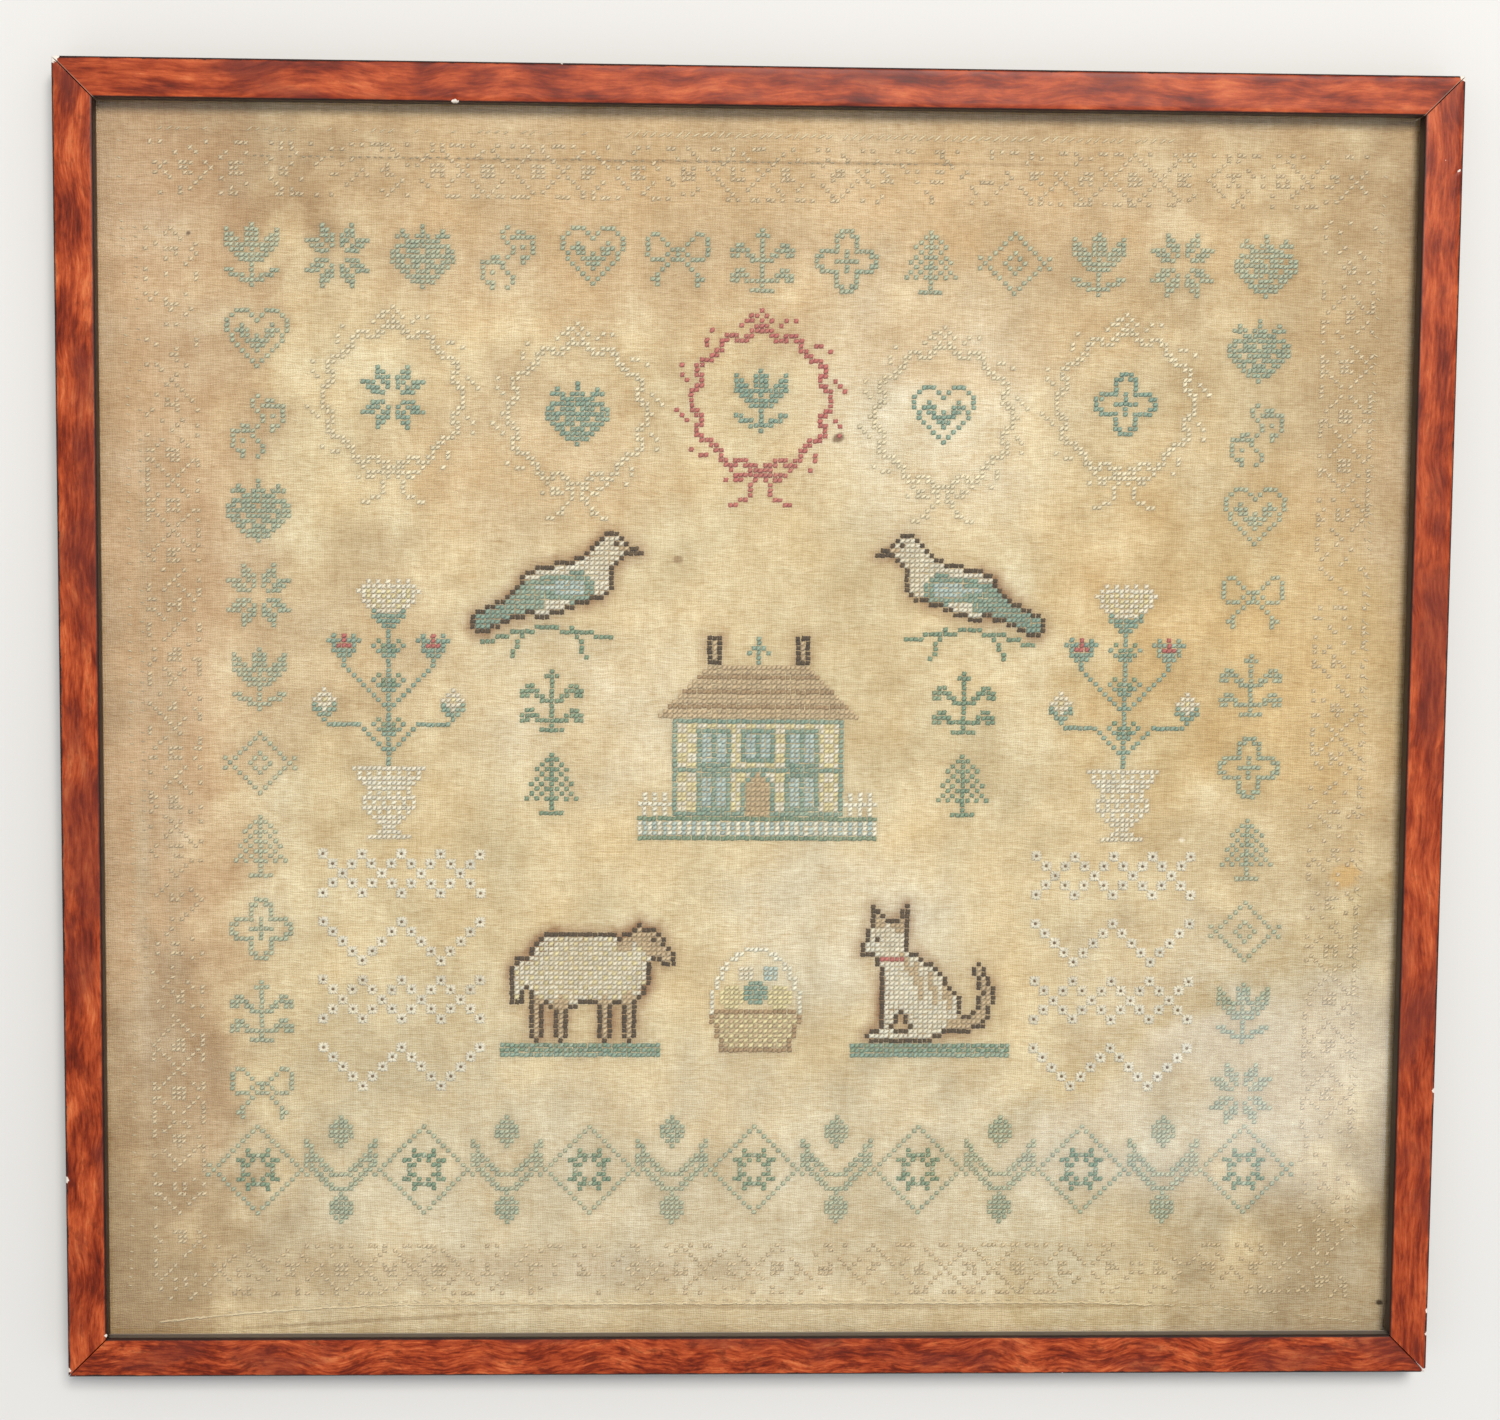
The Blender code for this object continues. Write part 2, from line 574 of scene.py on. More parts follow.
catParts = [
    (-3, -5, -1, -1, 6.4, 5.4, "c"),
    (-1, -1, 4, 4, 5.4, 4.0, "c"),
    (4, 4, 6, 8, 3.9, 3.6, "c"),
    (6, 9, 6, 9, 4.5, 4.5, "c"),
    (9, 7, 10, 7, 1.9, 1.5, "w"),
    (3, 12, 2, 16, 1.7, 0.5, "n"),
    (8, 13, 9, 16, 1.7, 0.5, "n"),
    (5, 0, 6, -10, 2.5, 1.8, "c"),
    (6, -11, 9, -11, 1.5, 1.3, "w"),
    (-3, -10, 3, -11, 2.0, 1.5, "c"),
    (-8, -9, -13, -8, 1.8, 1.7, "n"),
    (-13, -8, -15, -2, 1.7, 1.6, "n"),
    (-15, -2, -13, 3, 1.6, 1.4, "n"),
    (-6, 0, -7, -5, 0.6, 0.6, "n"),
    (-3, 2, -4, -4, 0.6, 0.6, "n"),
    (0, 4, -1, -3, 0.6, 0.6, "n"),
    (3, 6, 1, 2, 0.6, 0.6, "n"),
    (5, 12, 5, 13, 0.5, 0.5, "n"),
    (8, 9, 8, 9, 0.5, 0.5, "b"),
    (8, 5, 3, 5, 0.5, 0.5, "r"),
]


# A small house with a hipped roof, behind a paling fence
def house(column, ground):
    block(column - 24, ground, column + 24, ground, "g")
    for offset in range(-24, 25):
        block(column + offset, ground + 1, column + offset, ground + 3, "wp"[offset % 2])
    block(column - 24, ground + 4, column + 24, ground + 4, "g")
    for offset in range(-16, 17):
        for up in range(5, 24):
            stitch(column + offset, ground + up, "yc"[(offset // 2 + up // 2) % 2])
    outline(column - 17, ground + 5, column + 17, ground + 24, "t")
    block(column - 17, ground + 14, column + 17, ground + 14, "t")
    for up in range(25, 36):
        half = 45 - up
        for offset in range(-half, half + 1):
            stitch(column + offset, ground + up, "n" if up % 3 else "o")
    for side in (-1, 1):
        block(column + side * 9 - 1, ground + 36, column + side * 9 + 1, ground + 41, "b")
        block(column + side * 9, ground + 37, column + side * 9, ground + 40, "n")
        for bottom in (7, 16):
            place = column + side * 9
            block(place - 2, ground + bottom, place + 2, ground + bottom + 5, "p")
            outline(place - 3, ground + bottom - 1, place + 3, ground + bottom + 6, "t")
            block(place, ground + bottom, place, ground + bottom + 5, "t")
        for post in range(19, 25, 2):
            block(column + side * post, ground + 5, column + side * post, ground + 9, "w")
        run([(column + side * 18, ground + 7), (column + side * 24, ground + 7)], "w")
    for up in range(5, 14):
        half = 3 if up < 11 else 14 - up
        for offset in range(-half, half + 1):
            stitch(column + offset, ground + up, "t" if abs(offset) == half else "n")
    block(column - 2, ground + 17, column + 2, ground + 21, "p")
    outline(column - 3, ground + 16, column + 3, ground + 22, "t")
    block(column, ground + 17, column, ground + 21, "t")
    block(column, ground + 36, column, ground + 40, "t")
    for east, north in ((-1, 39), (1, 39), (0, 41), (-2, 38), (2, 38)):
        stitch(column + east, ground + north, "t")


def floweringUrn(column, foot):
    stamp("urn", column, foot + 7)
    top = foot + 15
    run([(column, top), (column, top + 26)], "t")
    for side in (-1, 1):
        run([(column, top + 2), (column + side * 6, top + 8), (column + side * 12, top + 8)], "t")
        run([(column, top + 11), (column + side * 5, top + 16), (column + side * 9, top + 20)], "t")
        stamp("bud", column + side * 13, top + 12)
        stamp("pinkBud", column + side * 9, top + 23)
        for up in (5, 14, 21):
            run([(column + side, top + up + 1), (column + side * 3, top + up + 3)], "t")
            run([(column + side, top + up + 2), (column + side * 2, top + up + 4)], "g")
    stamp("carnation", column, top + 32)


def basket(column, foot):
    for up in range(0, 9):
        half = 7 + up // 3
        for offset in range(-half, half + 1):
            edge = abs(offset) == half or up in (0, 8)
            stitch(column + offset, foot + up, "o" if edge else "yn"[(offset + up) % 2])
    for step in range(60):
        turn = math.pi * step / 59
        stitch(round(column + 9 * math.cos(turn)), round(foot + 8 + 13 * math.sin(turn)), "w")
    for east, north, radius, thread in ((-5, 11, 2.4, "y"), (5, 11, 2.4, "y"), (0, 12, 2.6, "t"),
                                        (-2, 16, 1.8, "c"), (3, 16, 1.6, "p")):
        for x in range(-3, 4):
            for y in range(-3, 4):
                if math.hypot(x, y) <= radius:
                    stitch(column + east + x, foot + north + y, thread)


def ornament(kind, column, row):
    drawn = {"star": star, "lozenge": lozenge, "quatrefoil": quatrefoil, "scroll": scroll}
    if kind in drawn:
        drawn[kind](column, row, "t")
    else:
        stamp(kind, column, row, "t")


# The ring of separate teal ornaments round the field: along its top, then down its sides
def edging():
    kinds = ["tulip", "quatrefoil", "heart", "star", "fir", "bow", "berry", "lozenge",
             "leafSprig", "scroll"]
    pitch, side, top = 17, 101, 95
    for place in range(13):
        ornament(kinds[place * 3 % 10], (place - 6) * pitch, top)
    for place in range(10):
        row = top - (place + 1) * pitch
        ornament(kinds[(place * 7 + 2) % 10], -side, row)
        ornament(kinds[(place * 3 + 6) % 10], side, row)


# Festoons with a pendant in each, between lozenges, along the foot of the field
def footBand(row):
    pitch = 34
    for place in range(-3, 4):
        column = place * pitch
        lozenge(column, row, "t", 9)
        star(column, row, "g", 2)
        if place < 3:
            for step in range(48):
                share = step / 47
                sag = 7 * (1 - (2 * share - 1) ** 2)
                for drop in (0, 3):
                    stitch(round(column + 10 + 14 * share), round(row + 6 - sag - drop), "t")
            stamp("bud", column + pitch // 2, row - 8, "t", 2)
            stamp("bud", column + pitch // 2, row + 8, "t")


# Lattice bands in threads that have faded to the linen's own colour, half of them lost
def edgeRepeats(rng):
    for low, high, place, lengthwise in ((-122, 122, 112, True), (-112, 112, -112, True),
                                         (-118, 100, -118, False), (-118, 104, 119, False)):
        for along in range(low, high + 1):
            worn = 0.45 + 0.4 * math.sin(along / 13.0 + place) * math.sin(along / 37.0)
            for up in range(-5, 6):
                lattice = (along + up) % 10 == 0 or (along - up) % 10 == 0 or abs(up) == 5
                heart = (along % 10 in (4, 5, 6)) and abs(up) <= 1
                lost = worn * 0.75 if abs(up) < 5 else 0.45 + worn * 0.5
                if (lattice or heart) and rng.random() > lost:
                    across, north = (along, place + up) if lengthwise else (place + up, along)
                    stitch(across, north, "f")


# Diamond chains and zigzags of eyelets, on both sides of the field's foot
def eyeletRows():
    for side in (-1, 1):
        for low, both in ((-34, True), (-48, False), (-60, True), (-74, False)):
            for place in range(17):
                wave = abs(place % 8 - 4)
                for rise in sorted({wave, 4 - wave} if both else {wave}):
                    eyelets.append((side * (57 + place * 2) + 0.5, low + rise * 2 + 0.5))


def workTheChart():
    rng = random.Random(chartLook["seed"])
    edgeRepeats(rng)
    edging()
    footBand(-91)
    inside = ["star", "berry", "tulip", "heart", "quatrefoil"]
    for place, kind in zip(range(-2, 3), inside):
        garland(place * 37, 67 - 3 * abs(place % 2), "r" if place == 0 else "k", kind)
    house(0, -22)
    for side in (-1, 1):
        floweringUrn(side * 75, -22)
        figure(side * 39, 28, birdParts, "b", -side)
        run([(side * 56, 18), (side * 44, 21), (side * 30, 19)], "g")
        run([(side * 48, 20), (side * 50, 15)], "g")
        run([(side * 38, 21), (side * 35, 15)], "g")
        stamp("fir", side * 42, -11, "g")
        stamp("leafSprig", side * 42, 6, "g")
    figure(-33, -52, lambParts, "b", 1, "y")
    figure(33, -52, catParts, "b", -1)
    for left in (-52, 20):
        for row, threads in ((-65, "tg"), (-66, "gt"), (-67, "tt")):
            for column in range(left, left + 33):
                stitch(column, row, threads[column % 2])
    basket(0, -66)
    eyeletRows()


workTheChart()
print("chart worked:", len(chart), "crosses,", len(eyelets), "eyelets")


# The linen: a thin sheet on the cloth's folds, hemmed all round
linen = {
    "columns": 202,
    "rows": 191,
    "edge": 0.2 * mm,            # how far the mesh stays inside the solid's edge
    "thickness": 0.6 * mm,
    "creaseHeight": 0.09 * mm,
    "creaseSpan": 16 * mm,
    "threadPitch": 0.72,         # millimetres, as the other pattern sizes
    "warpWander": 1.8,           # how far the threads stray from straight lines
    "weftWander": 2.6,
    "warpHeight": 0.60,
    "weftHeight": 0.66,
    "crossing": 0.30,            # how much the thread on top rises and the other sinks
    "warpTone": 0.28,            # how far single threads differ in lightness
    "weftTone": 0.30,
    "slubTone": 0.46,
    "fleckTone": 0.50,
    "paintedHollowShade": 0.76,         # painted shade between the threads, with the weave's open holes
    "paintedThreadLight": 0.33,         # painted light added on their tops
    "relief": 0.16 * mm,
}

# Creases pressed into the cloth, and worn places that have puckered
creases = [
    # x, y, turn, half length, half width, height (millimetres and degrees)
    (150, -172, -24, 26, 1.5, 0.22),
    (134, -169, -30, 18, 1.3, -0.20),
    (160, -178, -18, 22, 1.3, 0.20),
    (172, -168, -40, 16, 1.6, -0.18),
    (-40, -20, 2, 90, 2.5, 0.10),
    (60, 95, 88, 60, 2.5, 0.09),
    (-150, 60, 84, 55, 2.2, 0.12),
    (-20, 168, 1, 120, 1.6, 0.14),
    (100, -60, -35, 45, 2.4, 0.10),
]


def creaseHeight(x, y):
    height = linen["creaseHeight"] * noise.fractal(
        Vector((x, y, 0.31)) / linen["creaseSpan"], 0.9, 2.1, 3)
    for middleX, middleY, turn, halfLength, halfWidth, ridge in creases:
        east, north = x / mm - middleX, y / mm - middleY
        lean = math.radians(turn)
        along = east * math.cos(lean) + north * math.sin(lean)
        across = north * math.cos(lean) - east * math.sin(lean)
        height += mm * ridge * math.exp(-(along / halfLength) ** 2 - (across / halfWidth) ** 2)
    return height


def weaveTheCloth():
    low, high = clothLow, clothHigh
    width = high.x - low.x - 2 * linen["edge"]
    depth = high.y - low.y - 2 * linen["edge"]
    deselect()
    bpy.ops.mesh.primitive_grid_add(
        x_subdivisions=linen["columns"], y_subdivisions=linen["rows"], size=1.0,
        location=((low.x + high.x) / 2, (low.y + high.y) / 2, high.z + mm))
    cloth = bpy.context.active_object
    cloth.scale = (width, depth, 1.0)
    settle()
    # laid on the folds from above, then eased upwards and downwards only
    modify(cloth, "SHRINKWRAP", target=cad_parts["sampler_cloth"], wrap_method="PROJECT",
           use_project_z=True, use_negative_direction=True, use_positive_direction=False)
    modify(cloth, "SMOOTH", factor=0.5, iterations=2, use_x=False, use_y=False)
    for vert in cloth.data.vertices:
        vert.co.z += creaseHeight(vert.co.x, vert.co.y)
    return cloth


cloth = weaveTheCloth()


# The cloth's height above the floor, read between the points of its grid
class ClothTop:
    def __init__(self, piece):
        points = pointsOf(piece)
        order = np.lexsort((np.round(points[:, 0], 6), np.round(points[:, 1], 6)))
        self.heights = points[order, 2].reshape(-1, linen["columns"] + 1)
        self.low = points.min(0)
        self.high = points.max(0)

    def at(self, x, y):
        rows, columns = self.heights.shape
        across = (x - self.low[0]) / (self.high[0] - self.low[0]) * (columns - 1)
        up = (y - self.low[1]) / (self.high[1] - self.low[1]) * (rows - 1)
        column = np.clip(np.floor(across).astype(int), 0, columns - 2)
        row = np.clip(np.floor(up).astype(int), 0, rows - 2)
        across = np.clip(across - column, 0, 1)
        up = np.clip(up - row, 0, 1)
        near = self.heights[row, column] * (1 - across) + self.heights[row, column + 1] * across
        far = self.heights[row + 1, column] * (1 - across) + self.heights[row + 1, column + 1] * across
        return near * (1 - up) + far * up


clothTop = ClothTop(cloth)
print("cloth laid, heights", clothTop.heights.min(), clothTop.heights.max())


# Broad changes of tone over an even ground: yellowed, browned and paler parts of the cloth, and
# painted shade that darkens its corners and sides, where the light falls off
ground = (224, 203, 161)
tones = [
    # x, y, half width, half height, colour, strength
    (0, 162, 260, 62, (210, 179, 137), 0.85),
    # Painted light: a lighter band along the top, under the top rail's shadow
    (-40, 190, 190, 15, (222, 192, 149), 0.7),
    (130, 189, 110, 11, (196, 166, 128), 0.6),
    (-190, 174, 74, 46, (173, 143, 107), 0.85),
    (-196, 40, 62, 260, (206, 172, 134), 0.85),
    (200, 80, 54, 160, (194, 164, 124), 0.85),
    (150, 110, 60, 70, (208, 182, 140), 0.6),
    (152, 16, 70, 66, (219, 189, 136), 0.85),
    (-70, 82, 60, 40, (214, 183, 141), 0.6),
    (-122, 26, 40, 42, (206, 177, 136), 0.6),
    (104, 62, 34, 40, (220, 190, 140), 0.5),
    (52, 98, 52, 50, (236, 220, 188), 0.8),
    (-48, 6, 60, 40, (230, 212, 178), 0.55),
    (26, -62, 48, 34, (234, 221, 192), 0.75),
    (76, -14, 26, 20, (212, 192, 152), 0.6),
    (24, -20, 30, 16, (230, 212, 174), 0.6),
    (0, -150, 240, 62, (218, 203, 172), 0.75),
    (150, -96, 70, 60, (209, 191, 158), 0.75),
    (150, -34, 52, 20, (212, 190, 150), 0.5),
    (-112, -104, 50, 40, (204, 188, 154), 0.45),
    (0, -192, 260, 24, (219, 198, 157), 0.75),
    (-206, -158, 62, 86, (180, 149, 108), 0.85),
    (-187, -70, 3, 70, (216, 198, 166), 0.5),
    (-178, -40, 3, 100, (208, 186, 150), 0.4),
    (-168, -112, 12, 26, (196, 164, 128), 0.5),
    (-179, -98, 20, 54, (182, 152, 116), 0.6),
    (-186, 60, 2.6, 50, (206, 182, 146), 0.4),
    (200, -182, 84, 50, (182, 159, 125), 0.85),
    (-60, -168, 90, 8, (190, 168, 136), 0.45),
    (-152, -166, 44, 22, (190, 166, 128), 0.55),
    (110, -126, 70, 18, (222, 208, 178), 0.7),
    (198, -134, 18, 28, (178, 156, 120), 0.5),
    (60, 116, 60, 18, (216, 184, 142), 0.4),
]

age = {
    "gain": 0.93,                # of the whole cloth's lightness
    "raggedness": 0.22,          # of a tone's edge
    "fullWithin": 0.35,          # share of a tone's reach that has it in full
    "fadesOver": 0.75,
    "broadSpan": 52.0,           # millimetres
    "broadSwing": 0.05,
    "patchSpan": 13.0,
    "patchSwing": 0.085,
    "deepening": (0.8, 1.0, 1.35),       # red, green and blue: what is darker is browner
    "warming": (0.02, -0.02, -0.08),     # of red, green and blue in the warmest patches
    "bleed": (156, 116, 78),
    "bleedShare": 0.55,          # on the whole, and how far it differs between patches
    "bleedSwing": 0.8,
    "bleedStart": 0.6 * mm,      # from a brown stitch's middle
    "bleedReach": 3.6 * mm,
    "stitchShadeStart": 0.4 * mm,     # painted shade, with the holes of the weave: every stitch darkens the linen round it
    "stitchShadeReach": 1.5 * mm,
    "stitchShadeFactor": 0.86,
}


# Noise at points given in millimetres, about 0
def cloudsAt(points, span, seed, octaves):
    return np.array([noise.fractal(Vector((x / span, y / span, seed)), 0.8, 2.1, octaves)
                     for x, y in points])


# How near each point lies to a stitch of some letters: 1 beside it, 0 past the reach
def nearStitches(points, letters, start, reach):
    places = [place for place, letter in chart.items() if letter in letters]
    tree = kdtree.KDTree(len(places))
    for index, (column, row) in enumerate(places):
        tree.insert((column * chartLook["pitch"], row * chartLook["pitch"], 0.0), index)
    tree.balance()
    away = np.array([tree.find((x * mm, y * mm, 0.0))[2] for x, y in points])
    return np.clip(1 - (away - start) / reach, 0, 1)


# Gives every point of the cloth the colour that ageing, dye and handling have left it, with painted
# shade in its corners and round its stitches
def ageAndShadeTheCloth(cloth):
    points = pointsOf(cloth)[:, :2] / mm
    patches = cloudsAt(points, age["patchSpan"], 3.7, 4)
    colour = np.tile(np.array(paint(*ground)[:3]), (len(points), 1))
    for x, y, halfWidth, halfHeight, tone, strength in tones:
        away = np.hypot((points[:, 0] - x) / halfWidth, (points[:, 1] - y) / halfHeight)
        away = away + patches * age["raggedness"] - age["fullWithin"]
        share = np.clip(1 - away / age["fadesOver"], 0, 1)
        share = (share * share * (3 - 2 * share) * strength)[:, None]
        colour = colour * (1 - share) + np.array(paint(*tone)[:3]) * share
    swing = cloudsAt(points, age["broadSpan"], 9.2, 2) * age["broadSwing"]
    warmth = cloudsAt(points, age["patchSpan"] * 1.7, 5.1, 3)[:, None]
    lightness = (1 + 2 * swing + 2 * patches * age["patchSwing"])[:, None]
    colour = colour * age["gain"] * lightness ** np.array(age["deepening"])
    colour = colour * (1 + warmth * np.array(age["warming"]))
    bleed = nearStitches(points, "b", age["bleedStart"], age["bleedReach"])
    bleed = (bleed * np.clip(age["bleedShare"] + patches * age["bleedSwing"], 0, 1))[:, None]
    colour = colour * (1 - bleed) + np.array(paint(*age["bleed"])[:3]) * bleed
    # Painted shade, with the holes the stitches open in the weave: the linen darkens round every
    # thread but the faded one, which no longer stands out
    stitchShade = nearStitches(points, "tpckybrnogw", age["stitchShadeStart"], age["stitchShadeReach"])[:, None]
    colour = colour * (1 - stitchShade * (1 - age["stitchShadeFactor"]))
    layer = cloth.data.attributes.new("age", "FLOAT_COLOR", "POINT")
    colour = np.hstack([np.clip(colour, 0, 1), np.ones((len(points), 1))])
    layer.data.foreach_set("color", colour.ravel())


ageAndShadeTheCloth(cloth)

# Small marks, and a painted shadow line: where, how large, which way they run, their colour and how
# strong
stainsAndShadowLine = [
    # x, y, half length, half width, turn, colour, strength (millimetres and degrees)
    (-64.9, -66.2, 3.6, 3.2, 20, (138, 98, 62), 0.75),
    (-62.5, -62.0, 2.2, 1.6, 60, (150, 110, 72), 0.5),
    (-171.8, 148.6, 0.8, 0.6, 40, (92, 70, 50), 0.8),
    (196.9, -179.0, 1.0, 0.9, 0, (66, 52, 40), 0.9),
    (23.4, 89.5, 1.9, 1.2, 30, (120, 92, 66), 0.8),
    (-24.8, 52.1, 1.4, 1.1, 0, (140, 106, 72), 0.6),
    (65.8, 45.0, 6.5, 0.45, 0, (104, 80, 66), 0.85),
    (131.2, -33.0, 0.9, 0.7, 0, (240, 230, 206), 0.85),
    (182.6, -44.0, 4.4, 3.4, 15, (226, 178, 98), 0.45),
    # Painted shadow: a soft dark line under the rope of the hem's sewing. The two lines after it
    # darken the cloth along the foot and along the top.
    (24.0, -180.0, 120.0, 0.75, 0, (170, 146, 108), 0.6),
    (-118.0, -184.0, 42.0, 0.7, 3.3, (166, 140, 102), 0.6),
    (-20.0, 171.6, 110.0, 0.6, 0.2, (150, 122, 88), 0.45),
]


# Full strength at the middle of a mark, 0 past its edge, which the fray makes uneven
def mark(look, x, y, halfLength, halfWidth, turn, strength, fray):
    spot = look.node("ShaderNodeMapping", {"vector_type": "TEXTURE"}, {
        "Vector": look.node("ShaderNodeTexCoord", output="Object"),
        "Location": (x * mm, y * mm, 0.0), "Rotation": (0.0, 0.0, math.radians(turn)),
        "Scale": (halfLength * mm, halfWidth * mm, 1.0)})
    away = look.node("ShaderNodeVectorMath", {"operation": "LENGTH"}, {0: spot}, "Value")
    return (away + fray).between(1.45, 0.55, strength)


def linenFinish():
    look = Finish("aged linen")
    pitch = linen["threadPitch"]
    x, y, _ = look.parts(look.place())
    wander = look.cloud(look.place((6, 3.4, 10)), 1.0)
    warp = ((x / pitch + wander * linen["warpWander"]) * math.pi).sine()
    weft = ((y / pitch + wander * linen["weftWander"]) * math.pi).sine()
    over = warp * weft * linen["crossing"]
    warpTop = warp.size() * (linen["warpHeight"] + over)
    weave = warpTop.atLeast(weft.size() * (linen["weftHeight"] - over))
    warpTone = look.cloud(look.place((0.6, 9, 10), (3, 7, 0)), 1.0, 0.7) - 0.5
    weftTone = look.cloud(look.place((10, 0.6, 10), (11, 4, 0)), 1.0, 0.7) - 0.5
    slubs = look.cloud(look.place((2.6, 0.8, 10), (1, 5, 0)), 1.0, 0.6) - 0.5
    flecks = look.cloud(look.place((3.0, 2.2, 10), (2, 6, 0)), 3.0, 0.72) - 0.5
    colour = look.node("ShaderNodeAttribute", {"attribute_name": "age"}, output="Color")
    for markX, markY, halfLength, halfWidth, turn, tone, strength in stainsAndShadowLine:
        share = mark(look, markX, markY, halfLength, halfWidth, turn, strength, flecks * 1.2)
        colour = look.blend(colour, paint(*tone), share)
    even = 1.0 + warpTone * linen["warpTone"] + weftTone * linen["weftTone"]
    uneven = even + slubs * linen["slubTone"] + flecks * linen["fleckTone"]
    # Darker in the hollows and open holes of the weave, partly painted shade, and lighter on the
    # threads' tops as painted light
    shade = uneven * (linen["paintedHollowShade"] + weave * linen["paintedThreadLight"])
    # what is darker is browner too
    tinted = look.join(shade * 0.72 + 0.28, shade, shade * 1.34 - 0.34)
    colour = look.blend(colour, tinted, 1.0, "MULTIPLY")
    return look.surface({
        "Base Color": colour, "Roughness": 0.92, "Specular IOR Level": 0.2,
        "Normal": look.relief(weave + slubs * 1.6 + flecks, linen["relief"], 0.9)})


def hemTheCloth(cloth):
    pick(cloth)
    bpy.ops.object.shade_smooth()
    modify(cloth, "SOLIDIFY", thickness=linen["thickness"], offset=-1.0)
    dress(cloth, "worn_linen", linenFinish())
    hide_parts("sampler_cloth")


hemTheCloth(cloth)
print("linen finished")


# One strand of thread, copied for every stitch
thread = {
    "length": 1.72 * mm,
    "thickness": 1.16 * mm,
    "flatness": 0.50,            # its height as a share of its width
    "endThickness": 0.52,        # share of the middle's
    "endDrop": 0.14 * mm,
    "crown": 0.05 * mm,
    # The last number of each is painted light and shade: the lower strand darker, as in shade under
    # the upper one, the upper a little lighter
    "upper": (40, 1.0, 1.0, 0.15 * mm, 1.04),     # turn, longer, thicker, lift, shade
    "lower": (-45, 1.10, 0.80, 0.03 * mm, 0.84),
    "spread": 0.07 * mm,         # how unevenly the stitches are set
    "lean": 7.0,                 # degrees
    "lengths": (0.90, 1.08),     # how far single strands differ
    "girths": (0.80, 1.12),
    "shades": (0.84, 1.12),
    "plies": 2,
    "twists": 5,                 # of the plies along a strand
    # painted shade in the hollows between the plies
    "paintedPlyShade": 0.05,
    "plyDepth": 0.05 * mm,
}


# A strand lies along X, with a square section on its edge so that it shades as a round one
def modelStrand():
    deselect()
    bpy.ops.mesh.primitive_cylinder_add(
        vertices=4, radius=thread["thickness"] / 2, depth=thread["length"],
        location=(0, 0, 0), rotation=(0, math.pi / 2, 0))
    strand = bpy.context.active_object
    settle()
    strand.scale.z = thread["flatness"]
    settle()
    bpy.context.tool_settings.mesh_select_mode = (False, True, False)
    pickEdges(strand, lambda middle, run: abs(run.x) > thread["length"] / 2)
    bpy.ops.mesh.subdivide(number_cuts=2)
    for side in (-1, 1):
        end = side * thread["length"] / 2
        pickEdges(strand, lambda middle, run: abs(middle.x - end) < touching)
        slim = thread["endThickness"]
        bpy.ops.transform.resize(value=(1.0, slim, slim), center_override=(end, 0, 0))
        bpy.ops.transform.translate(value=(0, 0, -thread["endDrop"]))
    pickEdges(strand, lambda middle, run: abs(middle.x) < thread["length"] / 4)
    bpy.ops.transform.translate(value=(0, 0, thread["crown"]))
    bpy.ops.object.mode_set(mode="OBJECT")
    return strand


class Pattern:
    # The arrays of a small mesh that is copied many times into one piece
    def __init__(self, source):
        mesh = source.data
        self.points = np.array([vert.co[:] for vert in mesh.vertices])
        self.corners = np.array([loop.vertex_index for loop in mesh.loops])
        self.starts = np.array([face.loop_start for face in mesh.polygons])
        span = self.points[:, 0].max() - self.points[:, 0].min()
        around = np.arctan2(self.points[:, 1], self.points[:, 2] + 1e-6) / (2 * math.pi) + 0.5
        self.plies = np.stack([self.points[:, 0] / span + 0.5, around], 1)[self.corners]
        bpy.data.objects.remove(source)


# Lays copies of a pattern on the cloth. Each place is x, y, its turn, how much longer
# and thicker it is than the pattern, how far it is lifted, and its shade.
def layCopies(name, pattern, places, material):
    places = np.array(places)
    count, size = len(places), len(pattern.points)
    x, y, turn, longer, thicker, lift, shade = (places[:, [k]] for k in range(7))
    along = pattern.points[None, :, 0] * longer
    across = pattern.points[None, :, 1] * thicker
    worldX = x + along * np.cos(turn) - across * np.sin(turn)
    worldY = y + along * np.sin(turn) + across * np.cos(turn)
    worldZ = clothTop.at(worldX, worldY) + pattern.points[None, :, 2] * thicker + lift
    points = np.stack([worldX, worldY, worldZ], 2).reshape(-1, 3)
    step = np.arange(count)[:, None]
    corners = (pattern.corners[None, :] + step * size).ravel()
    starts = (pattern.starts[None, :] + step * len(pattern.corners)).ravel()
    mesh = bpy.data.meshes.new(name)
    mesh.vertices.add(len(points))
    mesh.vertices.foreach_set("co", points.ravel())
    mesh.loops.add(len(corners))
    mesh.loops.foreach_set("vertex_index", corners)
    mesh.polygons.add(len(starts))
    mesh.polygons.foreach_set("loop_start", starts)
    mesh.update(calc_edges=True)
    mesh.shade_smooth()
    plies = mesh.uv_layers.new(name="plies")
    plies.data.foreach_set("uv", np.tile(pattern.plies, (count, 1)).ravel())
    tone = mesh.attributes.new("shade", "FLOAT", "POINT")
    tone.data.foreach_set("value", np.repeat(shade.ravel(), size))
    mesh.validate()
    piece = bpy.data.objects.new(name, mesh)
    bpy.context.scene.collection.objects.link(piece)
    return dress(piece, name, material)


